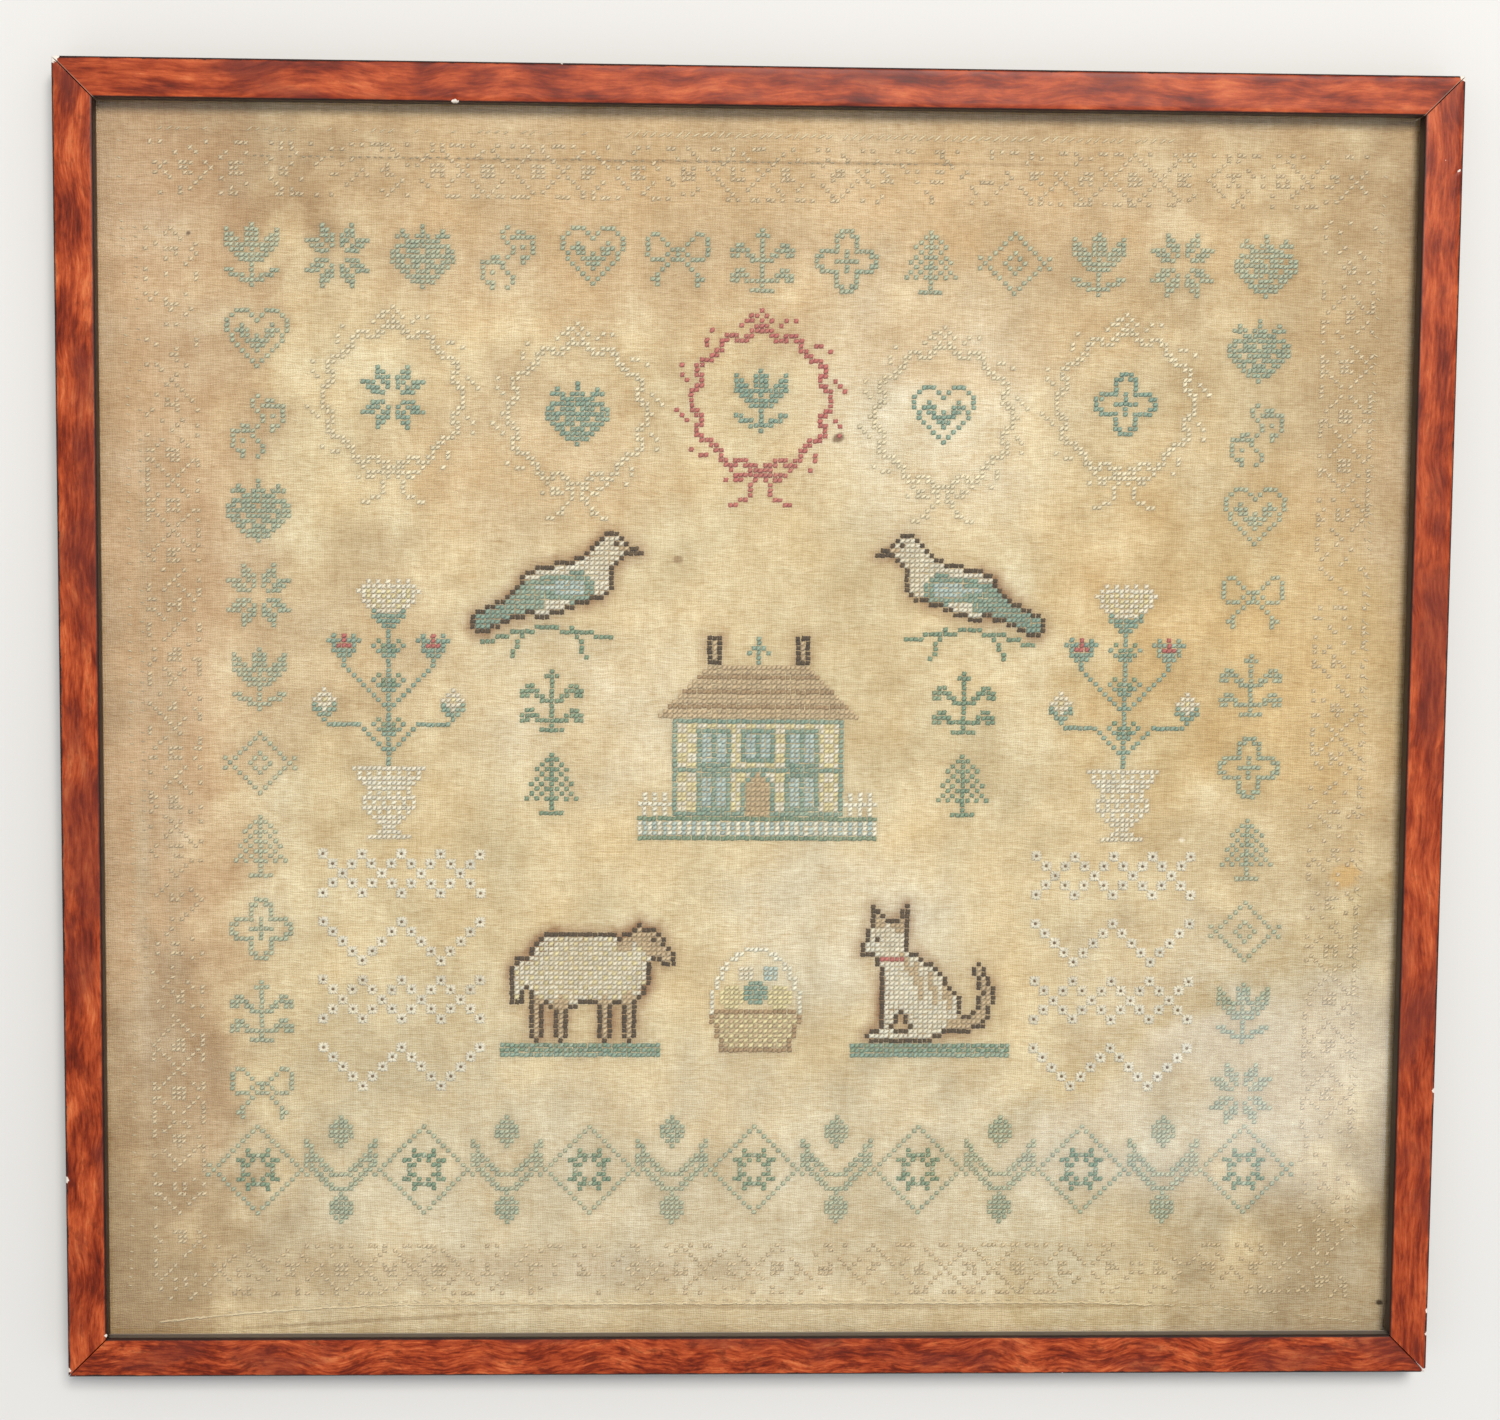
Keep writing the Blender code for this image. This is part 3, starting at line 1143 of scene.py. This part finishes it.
# Threads: piece, letter, fresh colour, colour where it has faded, how much of it has,
# and its thickness
threads = [
    ("teal_edging", "t", (170, 183, 158), (206, 205, 174), 0.52, 0.94),
    ("teal_field", "t", (146, 172, 154), (184, 195, 170), 0.42, 0.98),
    ("sky", "p", (192, 208, 200), (214, 220, 202), 0.4, 1.0),
    ("cream", "c", (243, 235, 213), (232, 218, 186), 0.45, 0.98),
    ("wreath", "k", (244, 231, 197), (232, 214, 175), 0.45, 0.92),
    ("straw", "y", (238, 224, 172), (234, 216, 176), 0.4, 0.98),
    ("brown", "b", (90, 74, 51), (120, 98, 71), 0.35, 0.96),
    ("rose", "r", (200, 114, 106), (216, 154, 134), 0.35, 0.98),
    ("tan", "n", (210, 184, 144), (222, 198, 160), 0.45, 0.96),
    ("ochre", "o", (182, 152, 114), (198, 168, 128), 0.4, 0.96),
    ("green", "g", (132, 158, 132), (166, 178, 146), 0.45, 0.96),
    ("pale", "w", (248, 242, 220), (238, 227, 196), 0.4, 0.98),
    ("faded", "f", (232, 213, 176), (213, 189, 149), 0.5, 0.76),
]


def threadFinish(name, fresh, faded, share):
    look = Finish(name + " thread")
    patchy = look.cloud(look.place((34, 30, 10), (len(name), 3, 0)), 3.0, 0.6)
    small = look.cloud(look.place((3, 3, 10)), 2.0)
    colour = look.blend(paint(*fresh), paint(*faded),
                        (patchy * 0.75 + small * 0.25 + share - 0.5).between(0.3, 0.75))
    shade = look.stored("shade")
    along, around, _ = look.parts(look.node("ShaderNodeUVMap", {"uv_map": "plies"}))
    turns = along * thread["twists"] + around * thread["plies"]
    twist = (turns * (2 * math.pi)).sine()
    # The stored shade holds each stitch's own tone and its painted light and shade; the twist adds
    # painted shade in the hollows between the plies
    colour = look.shaded(colour, shade * (0.97 + twist * thread["paintedPlyShade"]))
    return look.surface({
        "Base Color": colour, "Roughness": 0.8, "Specular IOR Level": 0.25,
        "Sheen Weight": 0.12, "Sheen Roughness": 0.5,
        "Normal": look.relief(twist, thread["plyDepth"], 0.7)})


def inEdging(column, row):
    halfWidth, foot, top = chartLook["field"]
    return abs(column) > halfWidth or row > top or row < foot


# Where a stitch of the chart comes to lie, by a hand that isn't quite even
def unevenPlace(column, row, rng):
    return (column * chartLook["pitch"] + rng.gauss(0, thread["spread"]),
            row * chartLook["pitch"] + rng.gauss(0, thread["spread"]))


# A cross is two strands, the second always the same way over the first
def crossPlaces(cells, body, rng):
    darkest, lightest = thread["shades"]
    places = []
    for column, row in cells:
        x, y = unevenPlace(column, row, rng)
        shade = min(lightest, max(darkest, rng.gauss(0.99, 0.06)))
        # The lower strand is painted darker, as shade under the upper, and the upper a little lighter
        for turn, longer, thicker, lift, paintedLight in (thread["lower"], thread["upper"]):
            lean = math.radians(turn + rng.gauss(0, thread["lean"]))
            places.append((x, y, lean, longer * rng.uniform(*thread["lengths"]),
                           body * thicker * rng.uniform(*thread["girths"]), lift, shade * paintedLight))
    return places


def workTheStitches():
    pattern = Pattern(modelStrand())
    made = []
    for name, letter, fresh, faded, share, body in threads:
        cells = [place for place, found in chart.items() if found == letter]
        if letter == "t":
            cells = [place for place in cells if inEdging(*place) == (name == "teal_edging")]
        rng = random.Random(name)
        made.append(layCopies(name + "_stitches", pattern, crossPlaces(cells, body, rng),
                              threadFinish(name, fresh, faded, share)))
        print(name, len(cells), "crosses")
    return made, pattern


stitchPieces, strandPattern = workTheStitches()


# Eyelets: short pale strands that draw the linen open round a hole
eyelet = {
    "rays": 12,
    "hole": 0.42 * mm,
    "reach": 1.66 * mm,          # to the middle of each side
    "corner": 2.05 * mm,
    "thickness": 0.76,           # share of a cross's strand
    "lift": 0.06 * mm,
    "lean": 0.07,                # radians
    "lengths": (0.92, 1.06),     # how far single strands differ
    "girths": (0.85, 1.2),
    "lifts": (0.4, 1.6),
    "strandShades": (0.88, 1.05),
    "shades": (0.90, 1.05),      # how far whole eyelets differ
    # The dish is a dark sheet of painted shade in the hole
    "dish": 1.2,                 # its width as a share of the hole's
    "dishDepth": 0.10 * mm,
    "dishLift": 0.02 * mm,
    "dishShades": (0.85, 1.25),
    "fresh": (244, 236, 214),
    "faded": (228, 214, 182),
    "freshHoleShade": (128, 104, 76),
    "fadedHoleShade": (150, 124, 92),
}


def workTheEyelets():
    rng = random.Random("eyelets")
    rays = []
    for column, row in eyelets:
        x, y = unevenPlace(column, row, rng)
        shade = rng.uniform(*eyelet["shades"])
        for ray in range(eyelet["rays"]):
            turn = 2 * math.pi * (ray + 0.5) / eyelet["rays"] + rng.gauss(0, eyelet["lean"])
            square = eyelet["reach"] / max(abs(math.cos(turn)), abs(math.sin(turn)))
            length = min(square, eyelet["corner"]) * rng.uniform(*eyelet["lengths"]) - eyelet["hole"]
            reach = eyelet["hole"] + length / 2
            rays.append((x + reach * math.cos(turn), y + reach * math.sin(turn), turn,
                         length / thread["length"],
                         eyelet["thickness"] * rng.uniform(*eyelet["girths"]),
                         eyelet["lift"] * rng.uniform(*eyelet["lifts"]),
                         shade * rng.uniform(*eyelet["strandShades"])))
    pale = threadFinish("eyelet", eyelet["fresh"], eyelet["faded"], 0.4)
    return layCopies("eyelet_stitches", strandPattern, rays, pale)


# Painted shade in the drawn hole of each eyelet: a shallow dark dish between the ends of its strands
# stands for the shadowed hole
def shadeTheEyeletHoles():
    deselect()
    bpy.ops.mesh.primitive_cylinder_add(vertices=8, radius=eyelet["hole"] * eyelet["dish"],
                                        depth=eyelet["dishDepth"], location=(0, 0, 0))
    dish = bpy.context.active_object
    bpy.ops.object.mode_set(mode="EDIT")
    bpy.ops.mesh.select_all(action="SELECT")
    bpy.ops.mesh.bevel(offset=eyelet["dishDepth"] * 0.3, segments=1, affect="EDGES")
    bpy.ops.object.mode_set(mode="OBJECT")
    rng = random.Random("holes")
    holes = [(column * chartLook["pitch"], row * chartLook["pitch"], 0.0, 1.0, 1.0,
              eyelet["dishLift"], rng.uniform(*eyelet["dishShades"])) for column, row in eyelets]
    shade = threadFinish("eyelet shade", eyelet["freshHoleShade"], eyelet["fadedHoleShade"], 0.4)
    return layCopies("eyelet_hole_shade", Pattern(dish), holes, shade)


stitchPieces.append(workTheEyelets())
stitchPieces.append(shadeTheEyeletHoles())
print("eyelets worked")


# The hem's sewing: along each hem's inner edge, as the cloth's own solid has it
hem = {
    "left": 12.5 * mm,
    "right": 15.5 * mm,
    "bottom": 12.8 * mm,
    "top": 12.0 * mm,
    "bottomSag": 8.0 * mm,
    "sideSag": 3.0 * mm,
    "slip": 0.12,                # of a stitch along its seam, as a share of the pitch
    "spread": 0.08 * mm,
    "lean": 6,                   # degrees
    "lengths": (0.85, 1.12),     # how far single stitches differ
    "girths": (0.85, 1.15),
    "shades": (0.93, 1.05),
    "lift": 0.04 * mm,
    "fresh": (230, 212, 174),
    "faded": (214, 190, 148),
}


def hemSag(place):
    return max(0.0, (abs(place) - 0.45) / 0.55) ** 2


# A place on a hem's seam, where along it runs from -1 to 1 between the cloth's corners
def seamPlace(side, along, inset):
    low, high = clothLow, clothHigh
    halfWidth, halfHeight = high.x, high.y
    sideSag = hem["sideSag"] * hemSag(along)
    if side == "bottom":
        rise = hem["bottom"] - hem["bottomSag"] * hemSag(along)
        return along * halfWidth, low.y + rise + inset
    if side == "top":
        return along * halfWidth, high.y - hem["top"] - inset
    if side == "right":
        return high.x - hem["right"] + sideSag - inset, along * halfHeight
    return low.x + hem["left"] - sideSag + inset, along * halfHeight


seams = [
    # side, inset, from, to, pitch, length, slant, thickness, missed stitches, shade
    ("bottom", 0.0, -0.90, 0.62, 1.30, 2.9, 9, 0.62, 0.03, 1.04),
    ("bottom", 0.0, 0.62, 0.94, 1.9, 2.3, 10, 0.44, 0.12, 1.0),
    ("bottom", 0.9, -0.80, 0.80, 3.4, 1.8, -8, 0.36, 0.35, 0.90),
    ("top", 0.2, -0.20, 0.62, 2.5, 2.9, 38, 0.60, 0.10, 1.04),
    ("top", 0.2, -0.90, -0.25, 2.6, 2.0, 30, 0.42, 0.45, 0.96),
    ("top", 8.0, -0.75, 0.30, 2.1, 1.2, 4, 0.40, 0.20, 0.62),
    ("right", 0.2, -0.85, 0.90, 2.8, 1.7, 60, 0.46, 0.25, 0.98),
    ("right", 1.6, -0.60, 0.55, 4.1, 1.3, 12, 0.34, 0.40, 0.85),
    ("left", 0.0, -0.90, 0.93, 2.6, 1.3, 75, 0.40, 0.25, 0.98),
    ("left", 3.6, -0.40, 0.80, 3.0, 1.1, 85, 0.34, 0.35, 0.80),
]


def sewTheHem():
    rng = random.Random("hem")
    places = []
    for side, inset, start, stop, pitch, length, slant, thick, missed, shade in seams:
        lengthwise = side in ("bottom", "top")
        half = clothHigh.x if lengthwise else clothHigh.y
        count = int((stop - start) * half / (pitch * mm))
        for step in range(count):
            slip = rng.uniform(-hem["slip"], hem["slip"])
            along = start + (stop - start) * (step + slip) / count
            if rng.random() < missed:
                continue
            x, y = seamPlace(side, along, inset * mm)
            turn = math.radians(slant + rng.gauss(0, hem["lean"]))
            turn += 0 if lengthwise else math.pi / 2
            places.append((x + rng.gauss(0, hem["spread"]), y + rng.gauss(0, hem["spread"]), turn,
                           length * mm / thread["length"] * rng.uniform(*hem["lengths"]),
                           thick * rng.uniform(*hem["girths"]), hem["lift"],
                           shade * rng.uniform(*hem["shades"])))
    sewing = threadFinish("hem", hem["fresh"], hem["faded"], 0.45)
    return layCopies("hem_stitches", strandPattern, places, sewing)


stitchPieces.append(sewTheHem())
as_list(stitchPieces)
print("hem sewn")


# The moulding: four mitred rails, painted in imitation of burr wood
moulding = {
    "lipReach": 5.0 * mm,
    "lipDepth": 5.2 * mm,
    "outerArris": 1.0 * mm,
    "sightArris": 0.5 * mm,
    "mitreGap": 0.05 * mm,
    "strip": 1.5 * mm,           # between the lengthwise lines of its face
    "cuts": (25, 19),            # crosswise, and then in each length between those
    "unevenness": 0.07 * mm,
    "unevenSpan": 9 * mm,
    "chipDepth": 0.45 * mm,
    "sharpest": 28,              # degrees between faces that still shade as one
}

# Rails: CAD node, piece, the way it is turned
rails = [
    ("frame_bottom", "bottom_rail", 0),
    ("frame_right", "right_rail", 90),
    ("frame_top", "top_rail", 180),
    ("frame_left", "left_rail", 270),
]

# Places where the paint has come off the white ground: x, y and size, in millimetres
chips = [
    (-210.0, 199.0, 2.3),
    (210.0, 199.0, 1.9),
    (-91.7, 186.9, 1.1),
    (-210.0, -137.4, 1.1),
    (-210.0, -196.8, 0.9),
    (-207.6, -199.0, 0.5),
    (210.0, -109.7, 0.9),
    (210.0, -179.3, 0.9),
    (210.0, -186.6, 0.8),
    (210.0, -199.0, 1.6),
    (204.9, 174.0, 0.45),
    (208.9, 171.1, 0.4),
    (-198.2, -186.0, 0.5),
    (199.2, -187.4, 0.5),
    (-60.0, 199.0, 0.6),
    (96.0, -199.0, 0.5),
]


def sawBlock(size, middle):
    bpy.ops.mesh.primitive_cube_add(size=1.0, location=middle)
    sawn = bpy.context.active_object
    sawn.scale = size
    settle()
    return sawn


# A square length along X, its outer side at Y = 0, with the rebate cut out behind its lip
def sawRail(length, face, depth):
    deselect()
    rail = sawBlock((length, face, depth), (0, face / 2, depth / 2))
    rebateHeight = depth - moulding["lipDepth"]
    rebate = sawBlock((2 * length, 2 * moulding["lipReach"], 2 * rebateHeight), (0, face, 0))
    pick(rail)
    modify(rail, "BOOLEAN", object=rebate, operation="DIFFERENCE")
    bpy.data.objects.remove(rebate)
    return rail


# Cuts the whole mesh in edit mode along a plane, and can clear away what lies beyond
def cutAlong(place, facing, clear=False):
    bpy.ops.mesh.select_all(action="SELECT")
    bpy.ops.mesh.bisect(plane_co=place, plane_no=facing, use_fill=clear, clear_outer=clear)


# Rounds the arrises, rules lines along the face, cuts the mitres, and divides the length
def shapeRail(rail, length, face, depth):
    bpy.context.tool_settings.mesh_select_mode = (False, True, False)
    for edgeY, width, steps in ((0.0, "outerArris", 4), (face, "sightArris", 3)):
        pickEdges(rail, lambda middle, run: abs(run.x) > face and abs(middle.y - edgeY) < touching
                  and abs(middle.z - depth) < touching)
        bpy.ops.mesh.bevel(offset=moulding[width], segments=steps, affect="EDGES")
    strips = int((face - 2 * moulding["outerArris"]) / moulding["strip"])
    for strip in range(1, strips + 1):
        cutAlong((0, moulding["outerArris"] + strip * moulding["strip"], 0), (0, 1, 0))
    for side in (-1, 1):
        end = side * (length / 2 - moulding["mitreGap"] / 2 * diagonal)
        cutAlong((end, 0, 0), (side, 1, 0), clear=True)
    longest = length
    for cuts in moulding["cuts"]:
        longest /= cuts + 1
        pickEdges(rail, lambda middle, run: abs(run.x) > longest * 0.5
                  and abs(run.y) + abs(run.z) < touching / 10)
        bpy.ops.mesh.subdivide(number_cuts=cuts)
    bpy.ops.mesh.select_all(action="SELECT")
    bpy.ops.mesh.normals_make_consistent(inside=False)
    bpy.ops.object.mode_set(mode="OBJECT")


def modelRail(node, name, turn):
    low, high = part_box(node)
    span = high - low
    middle = (low + high) / 2
    length, face, depth = max(span.x, span.y), min(span.x, span.y), span.z
    rail = sawRail(length, face, depth)
    shapeRail(rail, length, face, depth)
    storeRailPlace(rail, length)
    distance = abs(middle.y if turn in (0, 180) else middle.x) + face / 2
    rail.rotation_euler.z = math.radians(turn)
    rail.location = Matrix.Rotation(math.radians(turn), 3, "Z") @ Vector((0, -distance, 0))
    settle()
    wearRail(rail)
    bpy.ops.object.shade_smooth_by_angle(angle=math.radians(moulding["sharpest"]))
    dress(rail, name, railFinish(name, turn))
    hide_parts(node)


# Keeps where each point is on its rail, in millimetres: along and across, and from the mitre
def storeRailPlace(rail, length):
    mesh = rail.data
    place = mesh.uv_layers.new(name="railPlace")
    for loop in mesh.loops:
        spot = mesh.vertices[loop.vertex_index].co
        place.data[loop.index].uv = (spot.x / mm, spot.y / mm)
    joint = mesh.attributes.new("fromMitre", "FLOAT", "POINT")
    for index, vert in enumerate(mesh.vertices):
        joint.data[index].value = (length / 2 - vert.co.y - abs(vert.co.x)) / mm / diagonal


# Hand unevenness, and hollows where the paint has chipped
def wearRail(rail):
    mesh = rail.data
    chip = mesh.attributes.new("chip", "FLOAT", "POINT")
    top = railHigh.z
    for index, vert in enumerate(mesh.vertices):
        spot = vert.co
        worn = 0.0
        for x, y, size in chips:
            away = math.hypot(spot.x / mm - x, spot.y / mm - y, (spot.z - top) / mm * 0.8)
            worn = max(worn, 1 - away / (2 * size))
        chip.data[index].value = worn
        if spot.z > top - moulding["lipDepth"] * 0.5:
            sway = noise.noise(Vector((spot.x, spot.y, 0.0)) / moulding["unevenSpan"])
            spot.z -= moulding["unevenness"] * (0.5 + 0.5 * sway)
            if worn > 0.5:
                spot.z -= moulding["chipDepth"] * (worn - 0.5) * 2


# How strongly each rail's paint is mottled, how far its figure swirls, in millimetres,
# and how much its broad tones differ
paintwork = {
    "bottom_rail": (0.70, 18.0, 0.74),
    "right_rail": (0.34, 9.0, 0.62),
    "top_rail": (0.22, 10.0, 0.80),
    "left_rail": (0.42, 10.0, 0.84),
}

railPaint = {
    "figure": [(0.28, (80, 24, 9)), (0.40, (120, 40, 17)), (0.50, (154, 61, 28)),
               (0.60, (182, 82, 42)), (0.74, (208, 114, 66))],
    "clots": (78, 22, 10),
    "smudges": (104, 44, 34),
    "black": (34, 27, 24),
    # Painted light on the bottom rail: its lit inner side, and a thin highlight along its foot
    "paintedLitSide": (98, 89, 80),
    "paintedFootHighlight": (176, 166, 152),
    "mitre": (200, 176, 156),
    "whiteGround": (232, 222, 208),
    "bareWood": (150, 114, 78),
    "relief": 0.05 * mm,
}


# Lays one of the rail's colours over another
def coat(look, colour, part, share):
    return look.blend(colour, paint(*railPaint[part]), share)


# The swirling figure of imitation burr with its clots and smudges, and the streaks in it,
# which the paint's gloss and relief follow
def paintedFigure(look, name, along, across, seed):
    mottle, swirling, breadth = paintwork[name]
    swirl = look.cloud(look.join(along / 30 + seed, across / 50, 0.4), 1.0) - 0.5
    flow = across + swirl * swirling
    broad = look.cloud(look.join(along / 18 + seed, flow / 5.5, 0.1), 3.0, 0.55)
    streak = look.cloud(look.join(along / (8 - 4 * mottle) + seed, flow / 0.8, 0.6), 3.0, 0.7)
    tone = (broad - 0.5) * breadth + (streak - 0.5) * (0.20 + mottle * 0.78) + 0.5
    stops = [(stop, paint(*colour)) for stop, colour in railPaint["figure"]]
    colour = look.node("ShaderNodeValToRGB", {"stops": stops}, {0: tone})
    clots = look.cloud(look.join(along / 5 + seed, flow / 2.6, 0.7), 4.0, 0.65)
    colour = coat(look, colour, "clots", clots.between(0.51, 0.66, mottle * 0.85))
    smudge = look.cloud(look.join(along / 34 + seed, across / 16, 0.5), 3.0)
    return coat(look, colour, "smudges", smudge.between(0.50, 0.66, 0.5)), streak


# Where a rail is black: along its outer edge, unevenly, and on the inner side of its lip
def blackParts(look, along, across, fallen, fine, seed):
    ragged = (look.cloud(look.join(along / 7 + seed, 0.5, 0.8), 4.0, 0.7) - 0.5) * 1.8
    edge = 1 - (across - 0.35 - ragged.atLeast(-0.1) + fine).between(-0.1, 0.35)
    face = (railHigh.y - railLow.y) / mm
    lip = (across + fallen + fine * 0.7).between(face - 0.75, face - 0.35)
    return edge, lip


def railFinish(name, turn):
    look = Finish("painted " + name.replace("_", " "))
    along, across, _ = look.parts(look.node("ShaderNodeUVMap", {"uv_map": "railPlace"}))
    _, _, up = look.parts(look.place())
    fallen = railHigh.z / mm - up
    across = across - fallen
    seed = turn * 1.7 + 31
    colour, streak = paintedFigure(look, name, along, across, seed)
    grain = look.cloud(look.join(along / 0.5, across / 0.4, 0.3), 2.0)
    fine = (grain - 0.5) * 0.4
    colour = look.shaded(colour, 0.86 + grain * 0.28)
    edge, lip = blackParts(look, along, across, fallen, fine, seed)
    colour = coat(look, colour, "black", edge.atLeast(lip) * 0.96)
    if name == "bottom_rail":
        # painted light: its inner side, which faces the lamp, is painted lighter, and a thin painted
        # highlight runs along its foot
        colour = coat(look, colour, "paintedLitSide", lip * fallen.between(0.9, 1.8))
        colour = coat(look, colour, "paintedFootHighlight", lip * (fallen + fine).between(4.3, 4.9))
    if name == "top_rail":
        joint = 1 - (look.stored("fromMitre") + fine * 0.4).between(0.06, 0.24)
        colour = coat(look, colour, "mitre", joint * (0.22 + grain * 0.5))
    fray = (look.cloud(look.place((0.7, 0.7, 0.7)), 3.0) - 0.5) * 0.5
    bare = (look.stored("chip") + fray).between(0.47, 0.55)
    colour = coat(look, colour, "whiteGround", bare)
    unpainted = 1 - (up + fine).between(0.2, 0.5)
    colour = coat(look, colour, "bareWood", unpainted * (0.75 + grain * 0.25))
    return look.surface({
        "Base Color": colour, "Specular IOR Level": 0.16,
        "Roughness": 0.30 + streak * 0.16 + bare * 0.4 + unpainted * 0.3,
        "Normal": look.relief(streak * 0.6 + grain * 0.3, railPaint["relief"], 0.5)})


for node, name, turn in rails:
    modelRail(node, name, turn)
    print(name, "modelled")


# The glass and the board keep their solids
glass = {
    "clear": (0.992, 0.995, 0.988, 1.0),     # a faint green in its depth
    "ior": 1.5,
    "polish": 0.012,
    "mirroring": 1.5,            # for both faces, as only the outer one reflects here
}
board = {
    "light": (168, 128, 84),
    "dark": (128, 90, 56),
    "aged": (104, 74, 48),
    "ring": 7,                   # millimetres
    "relief": 0.15 * mm,
}


def glassFinish():
    look = Finish("old picture glass")
    glint = look.node("ShaderNodeFresnel", None, {"IOR": glass["ior"]})
    back = look.node("ShaderNodeNewGeometry", output="Backfacing")
    clear = look.node("ShaderNodeBsdfTransparent", None, {"Color": glass["clear"]})
    shine = look.node("ShaderNodeBsdfGlossy", None, {"Roughness": glass["polish"]})
    share = glint * (1 - back) * glass["mirroring"]
    return look.finish(look.node("ShaderNodeMixShader", None, {0: share, 1: clear, 2: shine}))


def boardFinish():
    look = Finish("aged pine board")
    bend = look.cloud(look.place((90, 30, 30)), 2.0)
    x, y, _ = look.parts(look.place())
    rings = ((y / board["ring"] + bend * 5) * math.pi).sine()
    pores = look.cloud(look.place((24, 0.5, 0.5)), 3.0, 0.6)
    patchy = look.cloud(look.place((50, 30, 30)), 3.0)
    colour = look.blend(paint(*board["light"]), paint(*board["dark"]), rings * 0.25 + pores * 0.7)
    colour = look.blend(colour, paint(*board["aged"]), patchy.between(0.55, 0.75) * 0.5)
    return look.surface({
        "Base Color": colour, "Roughness": 0.75 + pores * 0.15,
        "Normal": look.relief(pores * 0.6 + rings * 0.2, board["relief"], 0.6)})


for node, finish in (("glazing", glassFinish), ("backing_board", boardFinish)):
    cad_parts[node].data.materials.clear()
    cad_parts[node].data.materials.append(finish())
print("glass and board finished")


# Floor, and the studio's soft light
studio = {
    "floorSize": 40.0,
    "floorTones": ((214, 212, 207), (222, 220, 216)),
    "sky": (0.62, 0.64, 0.68),
    "skyStrength": 0.85,
}

windowLight = {
    "place": (0.42, 1.06, 2.5),
    "size": 0.8,
    "power": 62.0,
    "colour": (1.0, 0.97, 0.93),
}

# A dim pale wall high on the right, which shows in the glass as a veil near its corner.
# Its upper edge is ragged, and it fades out below and to the left (millimetres).
reflectedWall = {
    "place": (0.764, -0.571, 2.0),
    "size": (0.95, 0.42, 1.0),
    "turn": 31.6,
    "glow": (0.74, 0.86, 1.0, 1.0),
    "strength": 3.2,
    "edgeSlope": (0.524, -0.852),
    "edgeFrom": 677,
    "edgeFray": 190,
    "edgeFade": (32, 64),
    "footFade": (-718, -642),
    "leftFade": (220, 520),
    "evenShare": 0.30,           # the rest is clouded
}


def layTheFloor():
    deselect()
    bpy.ops.mesh.primitive_plane_add(size=studio["floorSize"], location=(0, 0, 0))
    floor = bpy.context.active_object
    floor.name = "floor"
    look = Finish("pale floor")
    mottle = look.cloud(look.place((300, 300, 300)), 3.0)
    darker, lighter = studio["floorTones"]
    colour = look.blend(paint(*darker), paint(*lighter), mottle)
    floor.data.materials.append(look.surface({"Base Color": colour, "Roughness": 0.8}))


def reflectedWallFinish():
    look = Finish("reflected wall")
    clouds = look.cloud(look.place((230, 150, 300)), 3.0, 0.6).between(0.25, 0.65)
    x, y, _ = look.parts(look.place())
    frayed = look.cloud(look.place((120, 120, 300), (3, 8, 0)), 3.0, 0.6) - 0.5
    slopeX, slopeY = reflectedWall["edgeSlope"]
    below = x * slopeX + y * slopeY - reflectedWall["edgeFrom"] + frayed * reflectedWall["edgeFray"]
    seen = below.between(*reflectedWall["edgeFade"]) * y.between(*reflectedWall["footFade"])
    seen = seen * x.between(*reflectedWall["leftFade"])
    seen = seen * (reflectedWall["evenShare"] + clouds * (1 - reflectedWall["evenShare"]))
    glow = look.blend((0.0, 0.0, 0.0, 1.0), reflectedWall["glow"], seen)
    light = look.node("ShaderNodeEmission", None, {
        "Color": glow, "Strength": reflectedWall["strength"]})
    look.material.cycles.emission_sampling = "NONE"
    return look.finish(light)


def hangTheWall():
    deselect()
    bpy.ops.mesh.primitive_plane_add(size=1.0, location=reflectedWall["place"])
    wall = bpy.context.active_object
    wall.name = "reflected_wall"
    wall.scale = reflectedWall["size"]
    wall.rotation_euler.z = math.radians(reflectedWall["turn"])
    settle()
    wall.data.materials.append(reflectedWallFinish())


def hangTheLamp():
    place = windowLight["place"]
    bpy.ops.object.light_add(type="AREA", location=place)
    lamp = bpy.context.active_object
    lamp.name = "window light"
    lamp.rotation_euler = (-Vector(place)).to_track_quat("-Z", "Y").to_euler()
    lamp.data.size = windowLight["size"]
    lamp.data.energy = windowLight["power"]
    lamp.data.color = windowLight["colour"]
    # it lights everything but doesn't glare in the glass
    spared = bpy.data.collections.new("no glare of the window light")
    spared.objects.link(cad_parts["glazing"])
    spared.collection_objects[0].light_linking.link_state = "EXCLUDE"
    lamp.light_linking.receiver_collection = spared


def openTheSky():
    sky = bpy.data.worlds.new("studio")
    sky.use_nodes = True
    bpy.context.scene.world = sky
    backdrop = sky.node_tree.nodes["Background"]
    backdrop.inputs["Color"].default_value = (*studio["sky"], 1.0)
    backdrop.inputs["Strength"].default_value = studio["skyStrength"]


layTheFloor()
hangTheWall()
hangTheLamp()
openTheSky()
bpy.context.scene.view_settings.view_transform = "Standard"
bpy.context.scene.cycles.diffuse_bounces = 2
bpy.context.scene.cycles.glossy_bounces = 2
bpy.context.scene.cycles.max_bounces = 5
print("studio lit")
